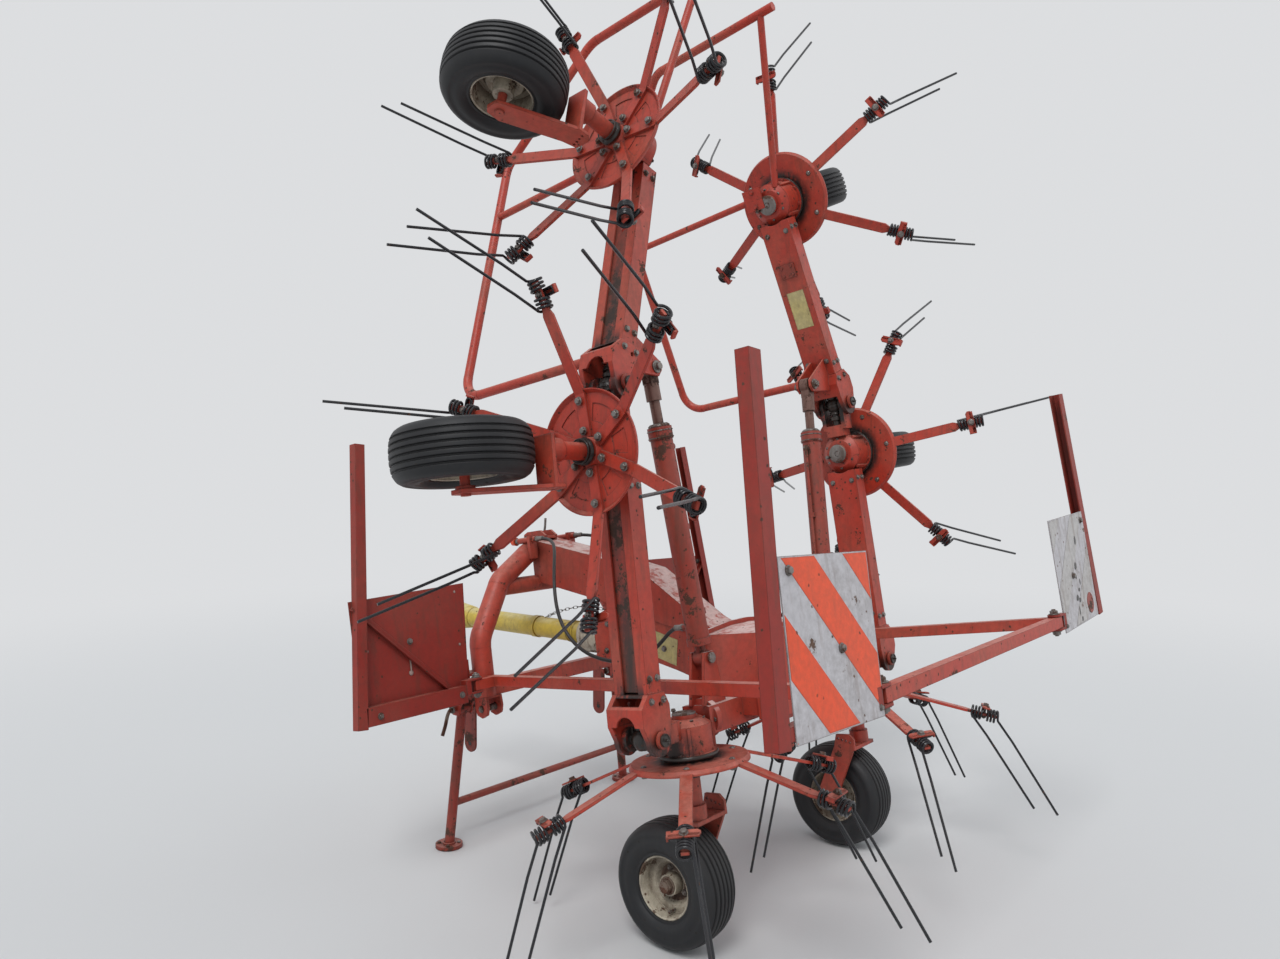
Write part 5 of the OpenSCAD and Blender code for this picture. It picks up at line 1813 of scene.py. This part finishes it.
    def shaft(self) -> None:
        """Adds the drive shaft's guard cones, bearing bands, yoke and chain."""
        at = FRAME.base() @ move(*self.shaft_start) @ turn(self.shaft_rise - 90, "X")
        bore = self.guard_bore
        guard = Shape()
        for z in self.guard_ribs:
            guard.ring(bore + 0.001, 0.0022, at @ move(0, 0, z), 40, 6)
        guard.lathe([(bore, 0.40), (0.049, 0.40), (0.049, 0.43), (bore, 0.43)], at, 40)
        guard.lathe([(bore, 0.86), *self.cone, (bore, 0.90)], at, 40)
        guard.done("shaft_guard_bands", PLASTIC, "chassis", "guard_yellow")
        self.yoke(at).done("shaft_yoke", GREASE, "chassis", "bare_steel")
        chain = Shape()
        line = curve([at @ Vector(p) for p in self.chain], 6)
        for k, (a, b) in enumerate(zip(line, line[1:])):
            way = (b - a).normalized().to_track_quat("X", "Z").to_matrix().to_4x4()
            link = Matrix.Translation((a + b) / 2) @ way @ turn(90 * (k % 2), "X")
            chain.ring(*self.chain_link, link @ Matrix.Diagonal((1.55, 0.72, 1, 1)), 14, 6)
        chain.done("shaft_chain", STEEL, "chassis", "bare_steel")

    def yoke(self, at: Matrix) -> Shape:
        """The yoke and cross at the shaft's free end, on axes along the shaft.

        Args:
            at: The axes.

        Returns:
            The shape.
        """
        yoke = Shape()
        yoke.post(0.030, 0.020, at @ move(0, 0, 1.0185), 28)
        for s in (-1, 1):
            yoke.slab(self.yoke_ear, 0.010,
                      at @ move(0, s * 0.030 - 0.005, 1.044) @ turn(90, "X") @ move(0, 0, -0.010))
            yoke.post(0.015, 0.006, at @ move(0, s * 0.034, self.yoke_at) @ turn(-90 * s, "X"), 20)
        yoke.post(0.0105, 0.070, at @ move(0, -0.035, self.yoke_at) @ turn(-90, "X"), 16)
        yoke.post(0.0105, 0.056, at @ move(-0.028, 0, self.yoke_at) @ turn(90, "Y"), 16)
        return yoke

    def handles(self) -> None:
        """Adds the stand's two handles."""
        shape = Shape()
        y, z = self.stand_pin[1:]
        for side in Side:
            line = [Vector((side.value * out, y, z + up)) for out, up in self.grip]
            shape.tube(curve(line, 5), self.grip_wire, 10)
        shape.done("stand_handles", RUSTY, "chassis", "bare_steel")

    def stand(self) -> None:
        """Adds the stand's pins, foot bolts and welds."""
        steel, welds = Shape(), Shape()
        x, y, z = self.stand_pin
        for side in Side:
            s = side.value
            for dx in (-self.stand_ear, self.stand_ear):
                face = move(s * (x + dx), y, z) @ turn(90 if s * dx > 0 else -90, "Y")
                steel.post(*self.stand_washer, face, 20)
                radius, wire, up = self.stand_ring
                steel.ring(radius, wire, face @ move(0, 0, up), 16, 6)
            foot = move(s * (x + z * math.tan(math.radians(self.stand_splay))), y, 0.0)
            radius, wire, up = self.stand_weld
            welds.ring(radius, wire, foot @ move(0, 0, up), 24, 6)
            wide, radius, up = self.stand_bolt
            for k in range(self.stand_bolts):
                steel.bolt(wide, foot @ turn(45 + k * 360 / self.stand_bolts, "Z") @ move(radius, 0, up),
                           False)
        steel.done("stand_pins", STEEL, "stand", "bare_steel")
        welds.done("stand_welds", DARK_PAINT, "stand", "paint")

    def locks(self) -> None:
        """Adds the stand's hanging lock plates, with a black disc through each as the painted shade of its
        opening.
        """
        plates, hole_shades = Shape(), Shape()
        x, ahead, z = self.lock_at
        half, long, thick = self.lock_half, self.lock_long, self.lock_thick
        outline = [*half_round(half, 180), (half, long), (-half, long)]
        for side in Side:
            at = move(side.value * x, self.stand_pin[1] + ahead, z) @ turn(90, "Z") @ turn(90, "X")
            plates.slab(outline, thick, at, 0.0008)
            for face in (0.0, thick):
                plates.ring(*self.lock_ring, at @ move(0, 0, face), 20, 6)
            # A black disc through the solid plate stands in for the opening: painted shade.
            hole_shades.post(self.lock_hole, thick + 2 * self.lock_proud, at @ move(0, 0, -self.lock_proud), 20)
        plates.done("stand_lock_plates", DARK_PAINT, "chassis", "paint")
        hole_shades.done("stand_lock_holes", GREASE, "chassis", "spring_black")

    def middle(self) -> None:
        """Adds the bolts on the centre box and the main beam, and the blank stickers on the beam."""
        base = FRAME.base()
        bolts, sticker = Shape(), Shape()
        for out, z in self.cover_bolts:
            for x, s in ((out, -1), (out, 1), (-out, -1), (-out, 1)):
                bolts.bolt(self.box_bolt, base @ move(x, s * self.cover_face, z) @ turn(-90 * s, "X"))
        out, level, radius = self.flange
        for s in (-1, 1):
            face = base @ move(s * out, 0, level) @ turn(90 * s, "Y")
            for k in range(self.flange_bolts):
                at = face @ turn(30 + k * 360 / self.flange_bolts, "Z") @ move(radius)
                bolts.bolt(self.flange_bolt, at, False)
        for y, z in self.beam_bolts:
            for s in (-1, 1):
                bolts.bolt(self.box_bolt, base @ move(s * self.beam_side, y, z) @ turn(90 * s, "Y"))
        bolts.done("centre_bolts", STEEL, "chassis", "bare_steel")
        for s in (-1, 1):
            sideways = Matrix(((0, 0, s, 0), (1, 0, 0, 0), (0, 1, 0, 0), (0, 0, 0, 1)))
            sticker.slab(self.sticker, self.sticker_film, base @ move(s * self.sticker_at) @ sideways)
        sticker.done("case_sticker", STICKER, "chassis", "guard_yellow", smooth=False)


@dataclass(frozen=True)
class Wings:
    """Beam bolts, webs, plates, blank stickers, hoop clamps and weld beads on the wings."""

    bolt: float = 0.017
    side_bolts: Pair = (0.185, 0.780)
    side_face: float = 0.067
    side_level: float = 0.018
    lip_bolts: Pair = (0.20, 0.77)
    lip_at: Pair = (0.045, 0.034)
    weld: Triple = (0.142, 0.066, 0.033)
    weld_bead: float = 0.0035
    web: Triple = (0.755, 0.114, 0.003)
    web_at: Pair = (0.5225, -0.0240)
    top: float = 0.0341
    clamps: tuple[Pair, ...] = ((0.120, 0.056), (0.932, 0.040))
    clamp: tuple[Pair, ...] = ((-0.045, -0.03), (0.045, -0.03), (0.045, 0.055), (-0.045, 0.055))
    clamp_foot: float = 0.0345
    clamp_sheet: float = 0.008
    clamp_bolt: float = 0.016
    clamp_bolt_at: Pair = (0.03, 0.05)
    sticker: tuple[Pair, ...] = ((0.36, -0.040), (0.52, -0.040), (0.52, 0.040), (0.36, 0.040))
    sticker_film: float = 0.0006
    plate: tuple[Pair, ...] = ((0.58, -0.035), (0.64, -0.035), (0.64, 0.035), (0.58, 0.035))
    plate_sheet: float = 0.006
    plate_bolts: tuple[Pair, ...] = ((0.592, -0.022), (0.592, 0.022), (0.628, -0.022), (0.628, 0.022))
    plate_bolt: Pair = (0.012, 0.040)
    rivets: tuple[Pair, ...] = ((0.050, 0.378), (0.050, 0.170), (0.470, 0.205))
    rivet: Triple = (0.006, 0.0025, 0.004)
    rivet_faces: Pair = (0.0190, 0.0160)
    latch_bar: Triple = (0.006, 0.004, 0.060)
    latch_bar_at: Triple = (0.290, 0.0140, 0.130)
    latch_knob: Triple = (0.011, 0.004, 0.005)
    latch_knob_at: Triple = (0.290, 0.0160, 0.098)

    def build(self) -> None:
        """Adds the wings' parts."""
        for side in Side:
            for place in (Place.INNER, Place.OUTER):
                self.beam(FRAME.wing(place, side), f"{place.value}_{side.word}")
            self.outer(FRAME.wing(Place.OUTER, side), side.word)
            self.latch(FRAME.half(side) @ move(*FRAME.guard_pivot, FRAME.rail_height), side.word)

    def beam(self, axes: Matrix, name: str) -> None:
        """Adds a beam's bolts, its weld bead at the hood and the web behind its mouth.

        Args:
            axes: Axes at the wing's pin.
            name: The wing's place and side.
        """
        body = f"wing_{name}"
        bolts, welds, web = Shape(), Shape(), Shape()
        for s in (-1, 1):
            for x in self.side_bolts:
                for z in (-self.side_level, self.side_level):
                    bolts.bolt(self.bolt, axes @ move(x, s * self.side_face, z) @ turn(-90 * s, "X"))
        for x in self.lip_bolts:
            for s in (-1, 1):
                bolts.bolt(self.bolt, axes @ move(x, s * self.lip_at[0], self.lip_at[1]))
        x, y, z = self.weld
        corners = ((x, -y, -z), (x, -y, z), (x, y, z), (x, y, -z))
        welds.tube([axes @ Vector(p) for p in corners], self.weld_bead, 6)
        bolts.done(f"beam_bolts_{name}", STEEL, body, "bare_steel")
        welds.done(f"beam_weld_{name}", PAINT, body, "paint")
        web.box(self.web, axes @ move(self.web_at[0], 0, self.web_at[1]))
        web.done(f"beam_web_{name}", WEB, body, "paint", greasy=Greased(OilAndShadeKind.WEB, axes))

    def outer(self, axes: Matrix, word: str) -> None:
        """Adds an outer wing's hoop clamps, blank sticker and plate.

        Args:
            axes: Axes at the wing's pin.
            word: The half's word.
        """
        body = f"wing_outer_{word}"
        clamps, sticker, plate = Shape(), Shape(), Shape()
        for x, y in self.clamps:
            clamps.slab(self.clamp, self.clamp_sheet, axes @ move(x, y, self.clamp_foot))
            for s in (-1, 1):
                clamps.bolt(self.clamp_bolt, axes @ move(x + s * self.clamp_bolt_at[0], self.clamp_bolt_at[1],
                                                         self.clamp_foot + self.clamp_sheet))
        clamps.done(f"hoop_clamps_{word}", PAINT, body, "paint")
        sticker.slab(self.sticker, self.sticker_film, axes @ move(0, 0, self.top))
        sticker.done(f"beam_sticker_{word}", STICKER, body, "guard_yellow", smooth=False)
        plate.slab(self.plate, self.plate_sheet, axes @ move(0, 0, self.top))
        wide, z = self.plate_bolt
        for x, y in self.plate_bolts:
            plate.bolt(wide, axes @ move(x, y, z), False)
        plate.done(f"beam_plate_{word}", DARK_PAINT, body, "paint")

    def latch(self, axes: Matrix, word: str) -> None:
        """Adds the rivets and the small latch on a front plate.

        Args:
            axes: Axes at the front arm's pivot.
            word: The half's word.
        """
        rivets = Shape()
        radius, tall, end = self.rivet
        for x, z in self.rivets:
            for y, way in zip(self.rivet_faces, (-90, 90)):
                rivets.post(radius, tall, axes @ move(x, y, z) @ turn(way, "X"), 12, end)
        rivets.box(self.latch_bar, axes @ move(*self.latch_bar_at))
        radius, tall, end = self.latch_knob
        rivets.post(radius, tall, axes @ move(*self.latch_knob_at) @ turn(90, "X"), 16, end)
        rivets.done(f"plate_rivets_{word}", PALE_DOT, f"guard_front_{word}", "bare_steel")


@dataclass(frozen=True)
class Studio:
    """Floor, light and the camera at the photograph's place.

    A sun is a name, the way that it shines, its strength and its width in degrees.
    """

    eye: Triple = (-3.0015, -2.44124, 1.6086)
    look: Triple = (88.4995, 0.0, -49.507)
    lens: float = 27.02
    sensor: float = 36.0
    floor_half: float = 60.0
    floor_level: float = -0.002
    floor_grey: float = 0.60
    floor_rough: float = 0.9
    backdrop: Triple = (0.72, 0.73, 0.745)
    fades: Pair = (3.2, 9.0)
    sky: Triple = (0.90, 0.95, 1.0)
    sky_strength: float = 0.66
    suns: tuple[tuple[str, Triple, float, float], ...] = (
        ("Key", (0.62, 0.30, -0.95), 1.55, 24.0), ("Fill", (-0.8, 0.5, -0.6), 0.35, 50.0))

    def camera(self) -> None:
        """Sets the camera."""
        data = bpy.data.cameras.new("Camera")
        data.lens = self.lens
        data.sensor_width = self.sensor
        item = bpy.data.objects.new("Camera", data)
        item.location = self.eye
        item.rotation_euler = [math.radians(a) for a in self.look]
        bpy.context.scene.collection.objects.link(item)
        bpy.context.scene.camera = item

    def seen(self, n: Nodes) -> Socket:
        """Whether a camera, mirror or glass ray looks."""
        ray = n.add("ShaderNodeLightPath").outputs
        return n.most(ray["Is Camera Ray"], ray["Is Glossy Ray"], ray["Is Transmission Ray"])

    def floor(self) -> None:
        """Lays a wide pale floor that runs out into the backdrop."""
        mesh = bmesh.new()
        bmesh.ops.create_grid(mesh, x_segments=1, y_segments=1, size=self.floor_half)
        data = bpy.data.meshes.new("Floor")
        mesh.to_mesh(data)
        mesh.free()
        item = bpy.data.objects.new("Floor", data)
        item.location.z = self.floor_level
        bpy.context.scene.collection.objects.link(item)
        data.materials.append(self.ground())

    def ground(self) -> bpy.types.Material:
        """The floor's material: pale near the machine, and the backdrop's colour far from it.

        Returns:
            The material.
        """
        made = bpy.data.materials.new("Pale floor")
        made.use_nodes = True
        n = Nodes(made.node_tree)
        shader = made.node_tree.nodes["Principled BSDF"]
        shader.inputs["Base Color"].default_value = (*(self.floor_grey,) * 3, 1.0)
        shader.inputs["Roughness"].default_value = self.floor_rough
        glow = n.add("ShaderNodeEmission")
        glow.inputs["Color"].default_value = (*self.backdrop, 1.0)
        far = n.length(n.add("ShaderNodeTexCoord").outputs["Object"])
        both = n.add("ShaderNodeMixShader")
        n.link(n.times(n.band(far, *self.fades), self.seen(n)), both.inputs[0])
        n.link(shader.outputs[0], both.inputs[1])
        n.link(glow.outputs[0], both.inputs[2])
        n.link(both.outputs[0], made.node_tree.nodes["Material Output"].inputs["Surface"])
        return made

    def light(self) -> None:
        """Sets a soft sky behind a pale backdrop, and two broad suns."""
        world = bpy.data.worlds.new("Soft sky")
        world.use_nodes = True
        bpy.context.scene.world = world
        n = Nodes(world.node_tree)
        sky = world.node_tree.nodes["Background"]
        sky.inputs["Color"].default_value = (*self.sky, 1.0)
        sky.inputs["Strength"].default_value = self.sky_strength
        plain = n.add("ShaderNodeBackground")
        plain.inputs["Color"].default_value = (*self.backdrop, 1.0)
        both = n.add("ShaderNodeMixShader")
        n.link(self.seen(n), both.inputs[0])
        n.link(sky.outputs[0], both.inputs[1])
        n.link(plain.outputs[0], both.inputs[2])
        n.link(both.outputs[0], world.node_tree.nodes["World Output"].inputs["Surface"])
        for name, way, strength, wide in self.suns:
            lamp = bpy.data.lights.new(name, "SUN")
            lamp.energy = strength
            lamp.angle = math.radians(wide)
            item = bpy.data.objects.new(name, lamp)
            item.rotation_euler = Vector(way).to_track_quat("-Z", "Y").to_euler()
            bpy.context.scene.collection.objects.link(item)

    def build(self) -> None:
        """Sets up the floor, the light and the view."""
        self.floor()
        self.light()
        bpy.context.scene.view_settings.view_transform = "Standard"


def main() -> None:
    """Builds the pieces in order."""
    logging.basicConfig(level=logging.INFO, format="%(message)s")
    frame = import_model()
    studio = Studio()
    studio.camera()
    PaintWork().apply(frame["nodes"])
    for work in (Hoses(), Tines(), Wheels(), Rotors(), Hinges(), Guards(), FrontGuards(), Cylinders(),
                 Headstock(), Wings()):
        work.build()
    studio.build()


if __name__ == "__main__":
    main()
